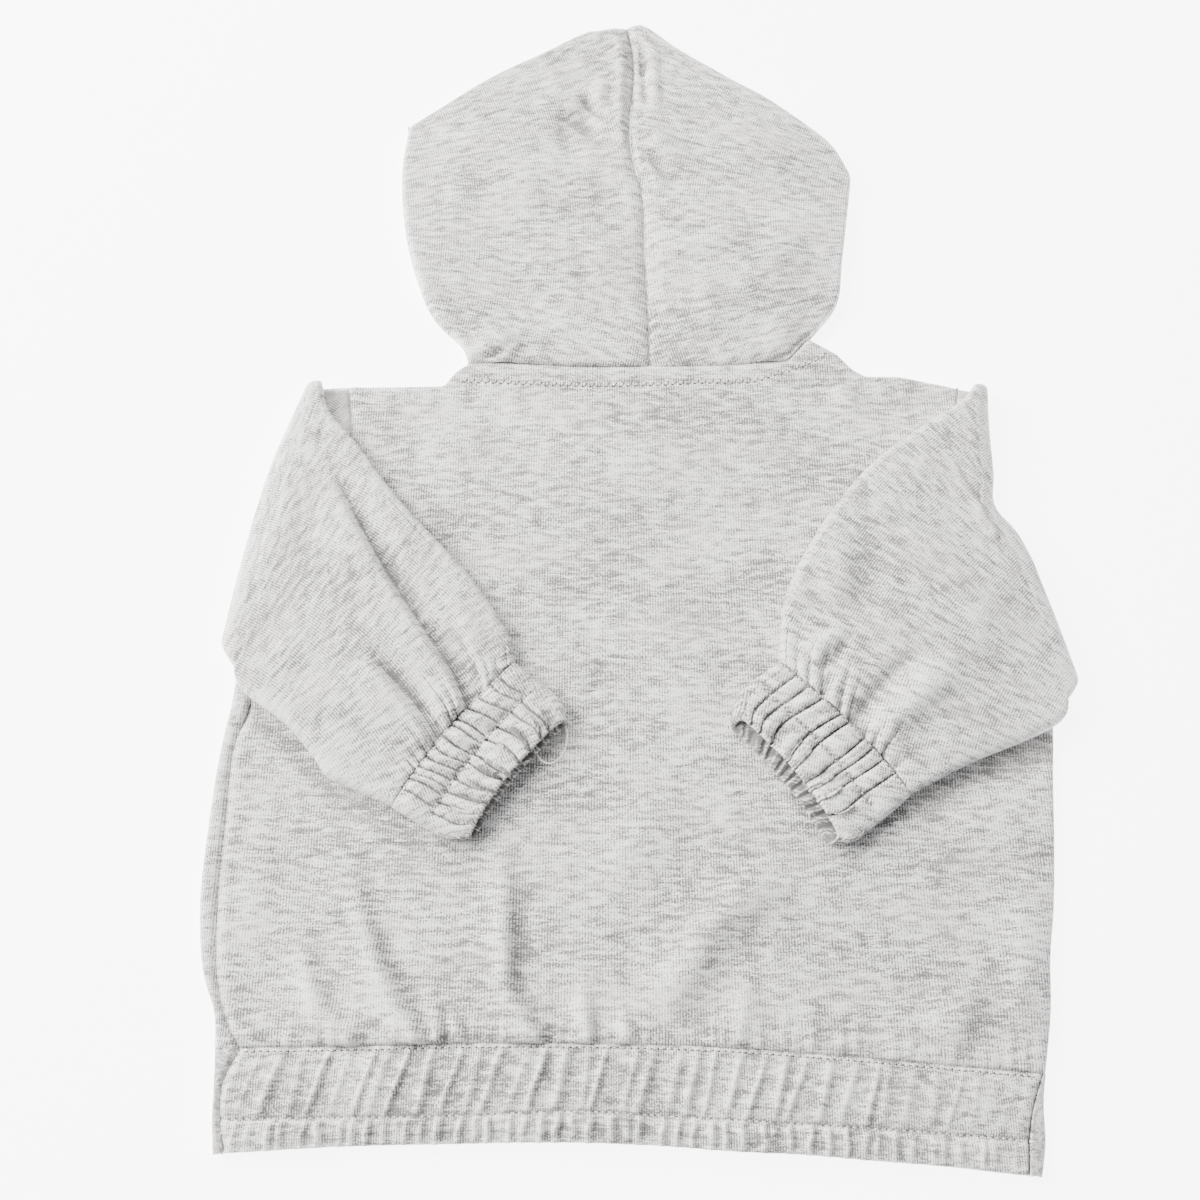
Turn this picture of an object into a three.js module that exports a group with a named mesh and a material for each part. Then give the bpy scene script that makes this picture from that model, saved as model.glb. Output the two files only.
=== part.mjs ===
import * as THREE from 'three';

// A toddler's hoodie lying face down with its back up and both sleeves folded in over the back.
// Millimetres. +X is to the right as it lies, +Y runs from the waistband to the hood, +Z is up.
// Every piece is one layer of fleece cloth with its own outer and inner side.

// Cloth and how the layers lie
const CLOTH = 2.4; // thickness of one layer
const SEAM_GAP = 0.3; // between two pieces that are sewn together
const BODY_HALF = 2.9; // half the height of the front and back lying on each other
const SLEEVE_REST = 6.2; // height of the underside of a sleeve that lies on the back
const FOLD_AXIS = 6.0; // height of the line that a sleeve is folded round
const FOLD_SLACK = 0.2; // from that line to the cloth
const SIDE_DIP = 0.7; // how far the back sinks at the right side seam
const SIDE_DIP_REACH = 12;
const RELIEF_LOW = -0.6; // deepest trough of a layer over the one below it
const RELIEF_HIGH = 2.4; // highest fold of the back
const RIGHT = -1; // which way is inward on each side, along X
const LEFT = 1;
const BOX_CENTRE = { x: -0.07, y: -0.32 }; // middle of the laid garment in the tables' plan; the origin goes there

// Tables have named columns. Each row is one place on the garment.
const table = (names, ...rows) => rows.map((row) => Object.fromEntries(names.map((name, k) => [name, row[k]])));

// The top edge of the body: left shoulder, neck seam, right shoulder
const TOP_LINE = table(
  ['x', 'back', 'front'],
  [-134.3, 57.6, 57.6],
  [-91.0, 58.5, 58.5],
  [-85.6, 66.0, 61.5],
  [-80.3, 69.8, 63.5],
  [-62.3, 69.9, 50.0],
  [-33.0, 68.3, 40.0],
  [2.9, 68.3, 36.0],
  [25.6, 68.5, 38.5],
  [44.4, 69.3, 45.0],
  [66.5, 71.6, 59.0],
  [76.9, 83.2, 74.0],
  [89.2, 75.3, 70.0],
  [96.0, 66.9, 64.5],
  [101.6, 63.4, 62.0],
  [117.2, 63.0, 62.0],
  [143.4, 56.6, 56.6],
);
const NECK = { left: -80.3, centre: 2.9, right: 76.9 };

// Left side below the underarm: the fold that the front panel makes, and the seam that it carries on to the back
const LEFT_SIDE = table(
  ['y', 'fold', 'seam'],
  [-225.7, -164.5, -154.6],
  [-212.0, -166.2, -162.3],
  [-200.0, -171.2, -166.0],
  [-177.6, -175.6, -168.6],
  [-140.0, -176.2, -169.2],
  [-108.0, -174.4, -168.6],
  [-91.0, -172.2, -164.4],
  [-70.7, -171.0, -162.8],
);
const RIGHT_SIDE = table(
  ['y', 'edge'],
  [-234.2, 146.5],
  [-212.0, 151.3],
  [-191.0, 153.9],
  [-175.0, 157.2],
  [-149.4, 160.9],
  [-123.0, 163.9],
  [-102.2, 166.6],
  [-75.3, 166.5],
);
const SHOULDER = { left: { x: -134.3, y: 57.6 }, right: { x: 143.4, y: 56.6 } };
const UNDERARM = { left: { x: -162.8, y: -70.7 }, right: { x: 166.5, y: -75.3 } };
const UNDERARM_ROW = 0.548; // share of the body's height, waist to shoulder, where the armholes end
const ARMHOLE_BOW = 14; // how far the armhole curves in from its chord
const BACK_COLUMN = 7.4; // widest distance between two columns of points on the back
const FRONT_COLUMN = 16; // and on the front, which lies flat
// Shares of the body's height at which both panels have a row of points
const BODY_ROWS = [0, 0.04, 0.08, 0.12, 0.17, 0.24, 0.32, 0.42, 0.5, UNDERARM_ROW, 0.65, 0.75, 0.84, 0.93, 1];

// Waistband: its seam to the body, the stitch row below it, and its lower edge
const WAIST_LINES = table(
  ['x', 'seam', 'stitch', 'hem'],
  [-166, -225.0, -249.1, -261.2],
  [-154, -224.7, -249.1, -260.6],
  [-115, -224.2, -248.7, -258.5],
  [-80, -223.3, -248.2, -257.7],
  [-20, -223.3, -246.7, -257.3],
  [5, -223.8, -248.2, -258.4],
  [30, -224.7, -249.5, -260.1],
  [55, -226.4, -250.9, -261.2],
  [80, -228.3, -252.3, -263.2],
  [104, -230.3, -253.9, -264.9],
  [128, -232.3, -255.8, -267.4],
  [148, -234.0, -257.6, -269.3],
);
const BAND_ENDS = table(
  ['row', 'fold', 'leftSeam', 'rightBack', 'rightFront'],
  [0, -164.5, -154.6, 145.5, 146.5],
  [1, -163.6, -160.0, 140.5, 144.6],
  [2, -163.0, -159.6, 137.6, 143.8],
  [3, -161.4, -157.2, 136.3, 141.0],
);
const BAND_ROWS = table(
  ['from', 'to', 'share', 'puff', 'lean'],
  ['seam', 'stitch', 0, 0.0, 7.0],
  ['seam', 'stitch', 0.5, 0.7, 3.5],
  ['stitch', 'hem', 0, 0.1, 0.0],
  ['stitch', 'hem', 1, 0.4, 0.0],
);
const BAND_GATHERS = 40;
const BAND_WAVE = 0.55; // half the height of a gather
const BAND_GATHER_COLUMNS = 3; // columns of points for each gather
const BAND_CALM_END = 0.1; // share of the band at each end where its gathers fade
const BAND_CALM_WAVE = 0.3; // share of a gather's height that is left at the very end
const BAND_FRONT_STEPS = 20; // columns of the band's flat front

// Largest folds: soft ridges, or troughs where the height is below zero, along straight stretches
const FOLD_COLUMNS = ['x0', 'y0', 'x1', 'y1', 'width', 'height'];
const BACK_FOLDS = table(
  FOLD_COLUMNS,
  [-125.8, -206.0, -112.3, -223.6, 6.0, 1.5],
  [-111.0, -182.0, -88.0, -222.9, 6.5, 1.8],
  [-84.4, -207.0, -79.0, -222.2, 5.5, 1.2],
  [-56.5, -177.0, -53.0, -206.0, 7.0, 1.4],
  [-53.0, -206.0, -44.0, -222.2, 6.0, 1.5],
  [-27.3, -205.0, -24.2, -222.2, 5.5, 1.3],
  [24.0, -178.0, -2.0, -217.6, 11.0, 1.4],
  [127.6, -202.3, 105.4, -223.6, 11.0, 1.2],
);
const LEFT_SLEEVE_FOLDS = table(
  FOLD_COLUMNS,
  [-129.6, 0.3, -102.8, -45.4, 4.5, -1.3],
  [-102.8, -45.4, -80.5, -77.3, 4.5, -1.5],
  [-80.5, -77.3, -71.4, -99.7, 4.0, -1.2],
  [-81.0, -60.4, -66.3, -90.5, 4.0, -1.0],
  [-120.4, -70.0, -93.0, -96.8, 4.5, -1.0],
  [-93.0, -96.8, -84.4, -109.2, 4.0, -1.1],
  [-122.0, -20.0, -96.0, -66.0, 8.0, 0.6],
);
const RIGHT_SLEEVE_FOLDS = table(
  FOLD_COLUMNS,
  [88.0, -34.0, 81.0, -70.0, 5.5, -1.1],
  [108.1, -80.3, 93.6, -93.0, 5.0, -1.1],
  [93.6, -93.0, 81.8, -100.8, 4.5, -1.1],
  [62.7, -66.9, 74.0, -84.0, 6.0, 0.7],
  [150.0, -14.0, 128.0, 4.0, 6.0, -0.9],
);
const HOOD_FOLDS = table(
  FOLD_COLUMNS,
  [-12.0, 258.0, -11.0, 200.0, 7.0, 0.7],
  [2.0, 252.0, 2.0, 182.0, 6.0, -0.6],
  [-66.0, 74.0, -56.0, 84.0, 5.0, -0.6],
  [62.0, 78.0, 76.0, 98.0, 6.0, 0.9],
  [-60.0, 110.0, -30.0, 140.0, 14.0, 0.8],
  [48.0, 96.0, 70.0, 150.0, 14.0, 0.7],
);

// Sleeves: the line that each is folded round, which ends further down where the sleeve comes off it on top,
// and the sleeve's two edges from there to the cuff seam
const FOLD_LINE = {
  left: { a: { x: -145.2, y: 56.9 }, b: { x: -172.0, y: -67.4 }, top: { x: -171.0, y: -77.0 } },
  right: { a: { x: 149.1, y: 55.4 }, b: { x: 172.1, y: -83.0 }, top: { x: 171.4, y: -91.5 } },
};
const FOLD_BOW = {
  left: table(['along', 'bow'], [0, 0], [0.14, -2.0], [0.32, -4.2], [0.5, -4.2], [0.7, -3.0], [1, 0]),
  right: table(
    ['along', 'bow'],
    [0, 0], [0.13, 4.4], [0.31, 9.2], [0.45, 12.4], [0.5, 8.2], [0.58, 4.8], [0.71, 2.8], [0.85, 1.2], [1, 0],
  ),
};
const UPPER_EDGE = {
  left: table(
    ['x', 'y'],
    [-145.2, 56.9], [-140.9, 42.5], [-127.6, 26.1], [-108.5, 0.3], [-87.4, -23.2], [-74.0, -38.4],
    [-58.1, -62.1], [-54.8, -75.4],
  ),
  right: table(
    ['x', 'y'],
    [149.1, 55.4], [141.1, 46.1], [117.3, 30.0], [97.0, 13.3], [76.5, -12.3], [60.2, -41.3],
    [55.2, -62.1], [54.2, -75.4],
  ),
};
const LOWER_EDGE = {
  left: table(
    ['x', 'y'],
    [-171.0, -77.0], [-168.0, -85.6], [-160.3, -92.2], [-147.2, -101.8], [-134.7, -115.4], [-129.0, -123.2],
    [-119.7, -127.6], [-102.1, -135.2],
  ),
  right: table(
    ['x', 'y'],
    [171.4, -91.5], [170.0, -97.6], [164.5, -102.5], [152.0, -108.5], [126.7, -118.7], [103.6, -130.4],
  ),
};
const CUFF_SEAM_BOW = -4;
const FOLD_TURNS = [0, 45, 90, 135, 180]; // degrees turned round the fold line, one ring at each
const SLEEVE_RINGS = 9; // from the fold to the cuff seam
const SLEEVE_STEPS = { topSteps: 16, underSteps: 7 }; // columns of a ring's upper and under side
const SLEEVE_TROUGH = -1.6; // deepest and highest that a sleeve's folds reach
const SLEEVE_RIDGE = 1.0;
const SLEEVE_END_FOLD = 0.3; // share of that which is left at the cuff seam
const SLEEVE_HALF = table(['share', 'half'], [0, 3.7], [0.4, 3.9], [0.75, 3.9], [1, 3.3]);
const FOLD_BOW_FADE = 0.35; // share of the sleeve over which the fold line's bow dies out

// Cuffs: rings from the seam to the mouth
const CUFF_RINGS = {
  left: table(
    ['ax', 'ay', 'bx', 'by', 'half', 'overhang'],
    [-54.6, -75.7, -101.9, -135.6, 3.3, 0.0],
    [-49.0, -80.6, -95.4, -139.6, 3.8, 0.3],
    [-43.4, -84.6, -88.2, -143.8, 3.4, 0.7],
    [-31.0, -95.6, -74.0, -150.8, 3.7, 1.5],
  ),
  right: table(
    ['ax', 'ay', 'bx', 'by', 'half', 'overhang'],
    [54.0, -75.7, 103.4, -130.8, 3.3, 0.0],
    [47.6, -80.2, 97.0, -136.4, 3.8, 1.5],
    [41.6, -84.6, 89.4, -142.0, 3.4, 3.0],
    [32.0, -95.4, 75.8, -152.2, 3.7, 5.0],
  ),
};
const CUFF_GATHERS = 10; // on each of the cuff's two layers
const CUFF_GATHER_STEPS = 4; // columns of points for each gather
const CUFF_WAVE = 0.5;

// Hood: side fold from the neck up to the corner, roof fold from the crown down to that corner
const HOOD_HALF = 2.9;
const HOOD_COLUMN = 12; // widest distance between two columns of points
const HOOD_ROW = 0.1; // and between two rows, as a share of the hood's height
const HOOD_TURN_START = 0.97; // shares across and up between which a panel turns over its side and roof folds
const HOOD_TURN_MIDDLE = 0.99;
const HOOD_EDGE_REACH = 0.02; // share of a fold over which its direction is taken
const CENTRE_SEAM = table(
  ['y', 'x'],
  [68.3, 2.9], [95.7, 2.6], [122.2, 1.6], [165.9, 0.2], [187.1, -4.0], [251.4, -3.4], [268.0, -6.1],
);
const CROWN = { x: -6.1, y: 268.0 };
const SIDE_FOLD = {
  left: table(
    ['x', 'y'],
    [-80.3, 70.4], [-84.0, 79.4], [-97.2, 94.1], [-106.2, 115.0], [-113.2, 142.2], [-116.7, 175.6], [-114.8, 203.6],
  ),
  right: table(['x', 'y'], [76.9, 84.0], [87.7, 95.7], [92.7, 106.1], [95.3, 124.0], [102.2, 167.9], [103.1, 173.8]),
};
const ROOF_FOLD = {
  left: table(
    ['x', 'y'],
    [CROWN.x, CROWN.y], [-19.7, 265.0], [-28.0, 263.0], [-47.3, 251.2], [-73.0, 235.7], [-98.0, 216.7], [-114.8, 203.6],
  ),
  right: table(
    ['x', 'y'],
    [CROWN.x, CROWN.y], [4.0, 267.0], [22.7, 251.2], [46.6, 233.1], [66.7, 218.6], [92.3, 195.0], [103.1, 173.8],
  ),
};
// Share of the half hood that the face opening takes from the under layer, from the neck to the crown
const FACE_OPENING = table(
  ['up', 'share'],
  [0, 0], [0.06, 0.12], [0.25, 0.3], [0.5, 0.34], [0.68, 0.25], [0.8, 0], [1, 0],
);

const FLEECE = { color: 0xd6d1cc, roughness: 0.95, metalness: 0 };
const BAND_FLEECE = { color: 0xd0cac4, roughness: 0.95, metalness: 0 };

const lerp = THREE.MathUtils.lerp;
const clamp = THREE.MathUtils.clamp;
const UP = new THREE.Vector3(0, 0, 1);

// Reads one column of a table at a place given in another, in straight lines between the rows
function read(rows, key, column, at) {
  const next = rows.findIndex((row) => row[key] > at);
  if (next === -1) return rows[rows.length - 1][column];
  if (next === 0) return rows[0][column];
  const [low, high] = [rows[next - 1], rows[next]];
  return lerp(low[column], high[column], (at - low[key]) / (high[key] - low[key]));
}

// A smooth route through a table's points, read by its share of the length
function route(rows) {
  const curve = new THREE.SplineCurve(rows.map((row) => new THREE.Vector2(row.x, row.y)));
  return (share) => curve.getPointAt(clamp(share, 0, 1));
}

// An even bow over a chord: nothing at its two ends and the given height in its middle
const arch = (height, along) => height * 4 * along * (1 - along);

// Evenly spaced numbers from 0 to 1
const steps = (count) => Array.from({ length: count + 1 }, (_, k) => k / count);

// All of the given places, with others put between them so that none are further apart than the reach
function filled(places, reach) {
  const full = [places[0]];
  for (let k = 1; k < places.length; k += 1) {
    const parts = Math.max(1, Math.round((places[k] - places[k - 1]) / reach));
    for (let part = 1; part <= parts; part += 1) full.push(lerp(places[k - 1], places[k], part / parts));
  }
  return full;
}

// Height that the folds add at one place
function relief(folds, x, y) {
  return folds.reduce((sum, fold) => {
    const run = new THREE.Vector2(fold.x1 - fold.x0, fold.y1 - fold.y0);
    const from = new THREE.Vector2(x - fold.x0, y - fold.y0);
    const along = clamp(from.dot(run) / run.lengthSq(), 0, 1);
    const off = from.sub(run.multiplyScalar(along)).length() / fold.width;
    return sum + fold.height * Math.exp(-off * off);
  }, 0);
}

// One layer of cloth as a closed solid: its outer side, its inner side and the cut edges between them
class Layer {
  constructor() {
    this.outer = [];
    this.inner = [];
    this.cells = [];
  }

  point(outer, inner) {
    this.outer.push(outer);
    this.inner.push(inner);
    return this.outer.length - 1;
  }

  cell(a, b, c, d) {
    this.cells.push([a, b, c, d]);
  }

  // Joins a grid of point numbers, rows by columns, where a missing number leaves a hole
  weave(grid, closed = false) {
    for (let j = 1; j < grid.length; j += 1) {
      const [low, high] = [grid[j - 1], grid[j]];
      const last = closed ? low.length : low.length - 1;
      for (let i = 0; i < last; i += 1) {
        const k = (i + 1) % low.length;
        const corners = [low[i], low[k], high[k], high[i]];
        if (corners.every((corner) => corner !== undefined)) this.cell(...corners);
      }
    }
    return this;
  }

  geometry() {
    const used = [...new Set(this.cells.flat())];
    const number = new Map(used.map((point, k) => [point, k]));
    const points = [...used.map((k) => this.outer[k]), ...used.map((k) => this.inner[k])];
    const faces = [];
    const edges = new Map();
    for (const cell of this.cells) {
      const [a, b, c, d] = cell.map((corner) => number.get(corner));
      faces.push([a, b, c], [a, c, d]);
      const [e, f, g, h] = [a, b, c, d].map((corner) => corner + used.length);
      faces.push([e, g, f], [e, h, g]);
      for (const [from, to] of [[a, b], [b, c], [c, d], [d, a]]) edges.set(`${from},${to}`, [from, to]);
    }
    for (const [from, to] of edges.values()) {
      if (edges.has(`${to},${from}`)) continue;
      faces.push([to, from, from + used.length], [to, from + used.length, to + used.length]);
    }
    const volume = faces.reduce((sum, [a, b, c]) => sum + points[a].dot(points[b].clone().cross(points[c])), 0);
    if (volume < 0) faces.forEach((face) => face.reverse());
    const geometry = new THREE.BufferGeometry();
    geometry.setAttribute('position', new THREE.Float32BufferAttribute(points.flatMap((p) => p.toArray()), 3));
    geometry.setIndex(faces.flat());
    geometry.computeVertexNormals();
    return geometry;
  }
}

function piece(name, layer, finish) {
  const mesh = new THREE.Mesh(layer.geometry(), new THREE.MeshStandardMaterial(finish));
  mesh.name = name;
  return mesh;
}

// The armhole's curve from shoulder to underarm, with a corner wherever the body panels have a row
const ARMHOLE_CURVE = BODY_ROWS.filter((up) => up >= UNDERARM_ROW).reverse().map((up) => {
  const along = (1 - up) / (1 - UNDERARM_ROW);
  return { along, bow: arch(ARMHOLE_BOW, along) };
});
const armholeBow = (along) => read(ARMHOLE_CURVE, 'along', 'bow', along);

// Sideways limits of a body panel at a height: the armhole above the underarm, the side below it
function bodyEdge(side, y, lowerEdge) {
  const inward = side === 'left' ? LEFT : RIGHT;
  const along = (y - SHOULDER[side].y) / (UNDERARM[side].y - SHOULDER[side].y);
  if (along > 1) return lowerEdge(y) + inward * SEAM_GAP * 0.5;
  const chord = lerp(SHOULDER[side].x, UNDERARM[side].x, Math.max(along, 0));
  return chord + inward * (armholeBow(along) + SEAM_GAP * 0.5);
}

// Maps shares across and up to the plan of a body panel
function bodyPlan(top, leftLower) {
  const seamY = (x) => read(WAIST_LINES, 'x', 'seam', x) + SEAM_GAP * 0.5;
  const topY = (x) => read(TOP_LINE, 'x', top, x) - SEAM_GAP * 0.5;
  const rightLower = (y) => read(RIGHT_SIDE, 'y', 'edge', y);
  const foot = { left: leftLower(LEFT_SIDE[0].y), right: rightLower(RIGHT_SIDE[0].y) };
  return (across, up) => {
    const leftY = lerp(seamY(foot.left), topY(SHOULDER.left.x), up);
    const rightY = lerp(seamY(foot.right), topY(SHOULDER.right.x), up);
    const x = lerp(bodyEdge('left', leftY, leftLower), bodyEdge('right', rightY, rightLower), across);
    const y = lerp(
      seamY(lerp(foot.left, foot.right, across)),
      topY(lerp(SHOULDER.left.x, SHOULDER.right.x, across)),
      up,
    );
    return { x, y };
  };
}

// Columns of a body panel: one at each corner of its top edge, with others between
function bodyColumns(reach) {
  const width = SHOULDER.right.x - SHOULDER.left.x;
  return filled(TOP_LINE.map((row) => row.x), reach).map((x) => (x - SHOULDER.left.x) / width);
}

function backPanel() {
  const plan = bodyPlan('back', (y) => read(LEFT_SIDE, 'y', 'seam', y));
  const layer = new Layer();
  const grid = BODY_ROWS.map((up) => bodyColumns(BACK_COLUMN).map((across) => {
    const { x, y } = plan(across, up);
    const edge = plan(1, up).x;
    const dip = up < UNDERARM_ROW ? SIDE_DIP * clamp(1 - (edge - x) / SIDE_DIP_REACH, 0, 1) : 0;
    const top = 2 * BODY_HALF - dip + clamp(relief(BACK_FOLDS, x, y), RELIEF_LOW, RELIEF_HIGH);
    return layer.point(new THREE.Vector3(x, y, top), new THREE.Vector3(x, y, top - CLOTH));
  }));
  return layer.weave(grid);
}

const ROLL_TURNS = [-45, 0, 45, 90]; // degrees round a rolled side, from the surface up to the top

// Points of a layer that turns up round a side and carries on inward on top, at one height
function sideRoll(layer, y, fold, seam) {
  const centre = fold + BODY_HALF;
  const turned = ROLL_TURNS.map((degrees) => {
    const angle = THREE.MathUtils.degToRad(degrees);
    const at = (radius) => new THREE.Vector3(centre - radius * Math.cos(angle), y, BODY_HALF + radius * Math.sin(angle));
    return layer.point(at(BODY_HALF), at(BODY_HALF - CLOTH));
  });
  const end = Math.max(seam - SEAM_GAP * 0.5, centre + SEAM_GAP);
  const top = new THREE.Vector3(end, y, 2 * BODY_HALF);
  return [layer.point(top, top.clone().setZ(2 * BODY_HALF - CLOTH)), ...turned.reverse()];
}

function frontPanel() {
  const rollStart = (y) => read(LEFT_SIDE, 'y', 'fold', y) + BODY_HALF - SEAM_GAP * 0.5;
  const plan = bodyPlan('front', rollStart);
  const layer = new Layer();
  const grid = BODY_ROWS.map((up) => {
    const start = plan(0, up).y;
    const below = up <= UNDERARM_ROW;
    const rolled = below
      ? sideRoll(layer, start, read(LEFT_SIDE, 'y', 'fold', start), read(LEFT_SIDE, 'y', 'seam', start))
      : Array(ROLL_TURNS.length + 1).fill(undefined);
    const flat = bodyColumns(FRONT_COLUMN).map((across) => {
      const { x, y } = plan(across, up);
      return layer.point(new THREE.Vector3(x, y, 0), new THREE.Vector3(x, y, CLOTH));
    });
    return [...rolled, ...flat];
  });
  return layer.weave(grid);
}

// A row of the waistband: where it lies along Y at each place across
function bandRow(row) {
  return (x) => {
    const from = read(WAIST_LINES, 'x', row.from, x);
    const to = read(WAIST_LINES, 'x', row.to, x);
    return lerp(from, to, row.share) - (row.share === 0 && row.from === 'seam' ? SEAM_GAP * 0.5 : 0);
  };
}

function waistbandBack() {
  const layer = new Layer();
  const grid = BAND_ROWS.map((row, j) => steps(BAND_GATHERS * BAND_GATHER_COLUMNS).map((across) => {
    const calm = clamp(Math.min(across, 1 - across) / BAND_CALM_END, 0, 1);
    const left = BAND_ENDS[j].leftSeam + SEAM_GAP * 0.5;
    const x = lerp(left, BAND_ENDS[j].rightBack, across) + row.lean * calm;
    const height = BAND_WAVE * lerp(BAND_CALM_WAVE, 1, calm);
    const gather = height * (1 + Math.cos(2 * Math.PI * BAND_GATHERS * across));
    const dip = SIDE_DIP * clamp(1 - (BAND_ENDS[j].rightBack - x) / SIDE_DIP_REACH, 0, 1);
    const top = 2 * BODY_HALF - dip + row.puff * calm + gather;
    const y = bandRow(row)(x);
    return layer.point(new THREE.Vector3(x, y, top), new THREE.Vector3(x, y, top - CLOTH));
  }));
  return layer.weave(grid);
}

function waistbandFront() {
  const layer = new Layer();
  const grid = BAND_ROWS.map((row, j) => {
    const { fold, leftSeam, rightFront } = BAND_ENDS[j];
    const rolled = sideRoll(layer, bandRow(row)(fold), fold, leftSeam);
    const flat = steps(BAND_FRONT_STEPS).map((across) => {
      const x = lerp(fold + BODY_HALF, rightFront, across);
      const y = bandRow(row)(x);
      return layer.point(new THREE.Vector3(x, y, 0), new THREE.Vector3(x, y, CLOTH));
    });
    return [...rolled, ...flat];
  });
  return layer.weave(grid);
}

const RING_TURNS = [45, 0, -45]; // degrees of the points round each end of a ring

// One ring of a flattened tube: two flats joined by round edges, as outer and inner points.
// The ring's chord runs from a to b, and its first flat lies on the side that its normal points to.
function tubeRing(layer, ring) {
  const chord = ring.b.clone().sub(ring.a);
  const length = chord.length();
  chord.normalize();
  const forward = ring.normal.clone().cross(chord).multiplyScalar(ring.inward);
  const flat = (share, side) => {
    const along = lerp(ring.half, length - ring.half, share);
    const calm = Math.sqrt(Math.sin(Math.PI * clamp(share, 0.0001, 0.9999)));
    return (thick) => place(along, side * (ring.half - thick), side > 0 ? ring.lift : ring.under, calm);
  };
  const turn = (end, degrees) => {
    const angle = THREE.MathUtils.degToRad(degrees);
    return (thick) => {
      const radius = ring.half - thick;
      const from = end > 0 ? length - ring.half : ring.half;
      return place(from + end * radius * Math.cos(angle), radius * Math.sin(angle), () => 0, 0);
    };
  };
  function place(along, off, lift, calm) {
    const share = clamp(along / length, 0, 1);
    const at = ring.a.clone().addScaledVector(chord, along);
    at.x += ring.inward * ring.bow(share);
    at.addScaledVector(forward, -ring.overhang * 0.5 * (off / ring.half));
    return at.addScaledVector(ring.normal, off + lift(at.x, at.y, share) * calm);
  }
  const around = [
    ...steps(ring.topSteps).map((share) => flat(share, 1)),
    ...RING_TURNS.map((degrees) => turn(1, degrees)),
    ...steps(ring.underSteps).reverse().map((share) => flat(share, -1)),
    ...[...RING_TURNS].reverse().map((degrees) => turn(-1, degrees)),
  ];
  return around.map((spot) => layer.point(spot(0), spot(CLOTH)));
}

const still = () => 0;
const onPlan = (point, z) => new THREE.Vector3(point.x, point.y, z);

function sleeve(side, folds) {
  const inward = side === 'left' ? LEFT : RIGHT;
  const common = { ...SLEEVE_STEPS, inward, overhang: 0, lift: still, under: still };
  const foldBow = (share) => read(FOLD_BOW[side], 'along', 'bow', share);
  const { a, b, top } = FOLD_LINE[side];
  const outward = new THREE.Vector3(b.y - a.y, a.x - b.x, 0).normalize().multiplyScalar(inward);
  const away = inward * SEAM_GAP * 0.5;
  const first = {
    ...common,
    a: onPlan({ x: SHOULDER[side].x - away, y: SHOULDER[side].y }, BODY_HALF),
    b: onPlan({ x: UNDERARM[side].x - away, y: UNDERARM[side].y + 2 * SEAM_GAP }, BODY_HALF),
    normal: UP.clone().negate(),
    half: BODY_HALF,
    bow: armholeBow,
  };
  const folded = FOLD_TURNS.map((degrees) => {
    const angle = THREE.MathUtils.degToRad(degrees);
    const half = lerp(BODY_HALF, SLEEVE_HALF[0].half, degrees / 180);
    const normal = outward.clone().multiplyScalar(Math.sin(angle)).addScaledVector(UP, -Math.cos(angle));
    const low = Math.max(b.y, UNDERARM[side].y + 2 * SEAM_GAP);
    const over = clamp(degrees / 90 - 1, 0, 1);
    const end = { x: lerp(b.x, top.x, over), y: lerp(lerp(low, b.y, Math.min(degrees / 90, 1)), top.y, over) };
    const shift = (point) => onPlan(point, FOLD_AXIS).addScaledVector(normal, half + FOLD_SLACK);
    return { ...common, a: shift(a), b: shift(end), normal, half, bow: foldBow };
  });
  const [upper, lower] = [route(UPPER_EDGE[side]), route(LOWER_EDGE[side])];
  const laid = steps(SLEEVE_RINGS).slice(1).map((share) => {
    const half = read(SLEEVE_HALF, 'share', 'half', share);
    const fade = clamp(1 - share / FOLD_BOW_FADE, 0, 1);
    const ridge = SLEEVE_RIDGE - (half - SLEEVE_HALF[0].half);
    const cuffBow = (along) => share * share * arch(CUFF_SEAM_BOW, along);
    return {
      ...common,
      a: onPlan(upper(share), SLEEVE_REST + half),
      b: onPlan(lower(share), SLEEVE_REST + half),
      normal: UP.clone(),
      half,
      bow: (along) => foldBow(along) * fade + cuffBow(along),
      lift: (x, y) => clamp(relief(folds, x, y), SLEEVE_TROUGH, ridge) * (share < 1 ? 1 : SLEEVE_END_FOLD),
    };
  });
  const layer = new Layer();
  return layer.weave([first, ...folded, ...laid].map((ring) => tubeRing(layer, ring)), true);
}

function cuff(side) {
  const inward = side === 'left' ? LEFT : RIGHT;
  const layer = new Layer();
  const gather = (x, y, share) => CUFF_WAVE * Math.cos(2 * Math.PI * CUFF_GATHERS * share);
  const rings = CUFF_RINGS[side].map((row) => ({
    inward,
    topSteps: CUFF_GATHERS * CUFF_GATHER_STEPS,
    underSteps: CUFF_GATHERS * CUFF_GATHER_STEPS,
    a: new THREE.Vector3(row.ax, row.ay, SLEEVE_REST + CUFF_WAVE + row.half),
    b: new THREE.Vector3(row.bx, row.by, SLEEVE_REST + CUFF_WAVE + row.half),
    normal: UP.clone(),
    half: row.half,
    overhang: row.overhang,
    bow: (share) => arch(CUFF_SEAM_BOW, share),
    lift: gather,
    under: gather,
  }));
  return layer.weave(rings.map((ring) => tubeRing(layer, ring)), true);
}

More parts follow.
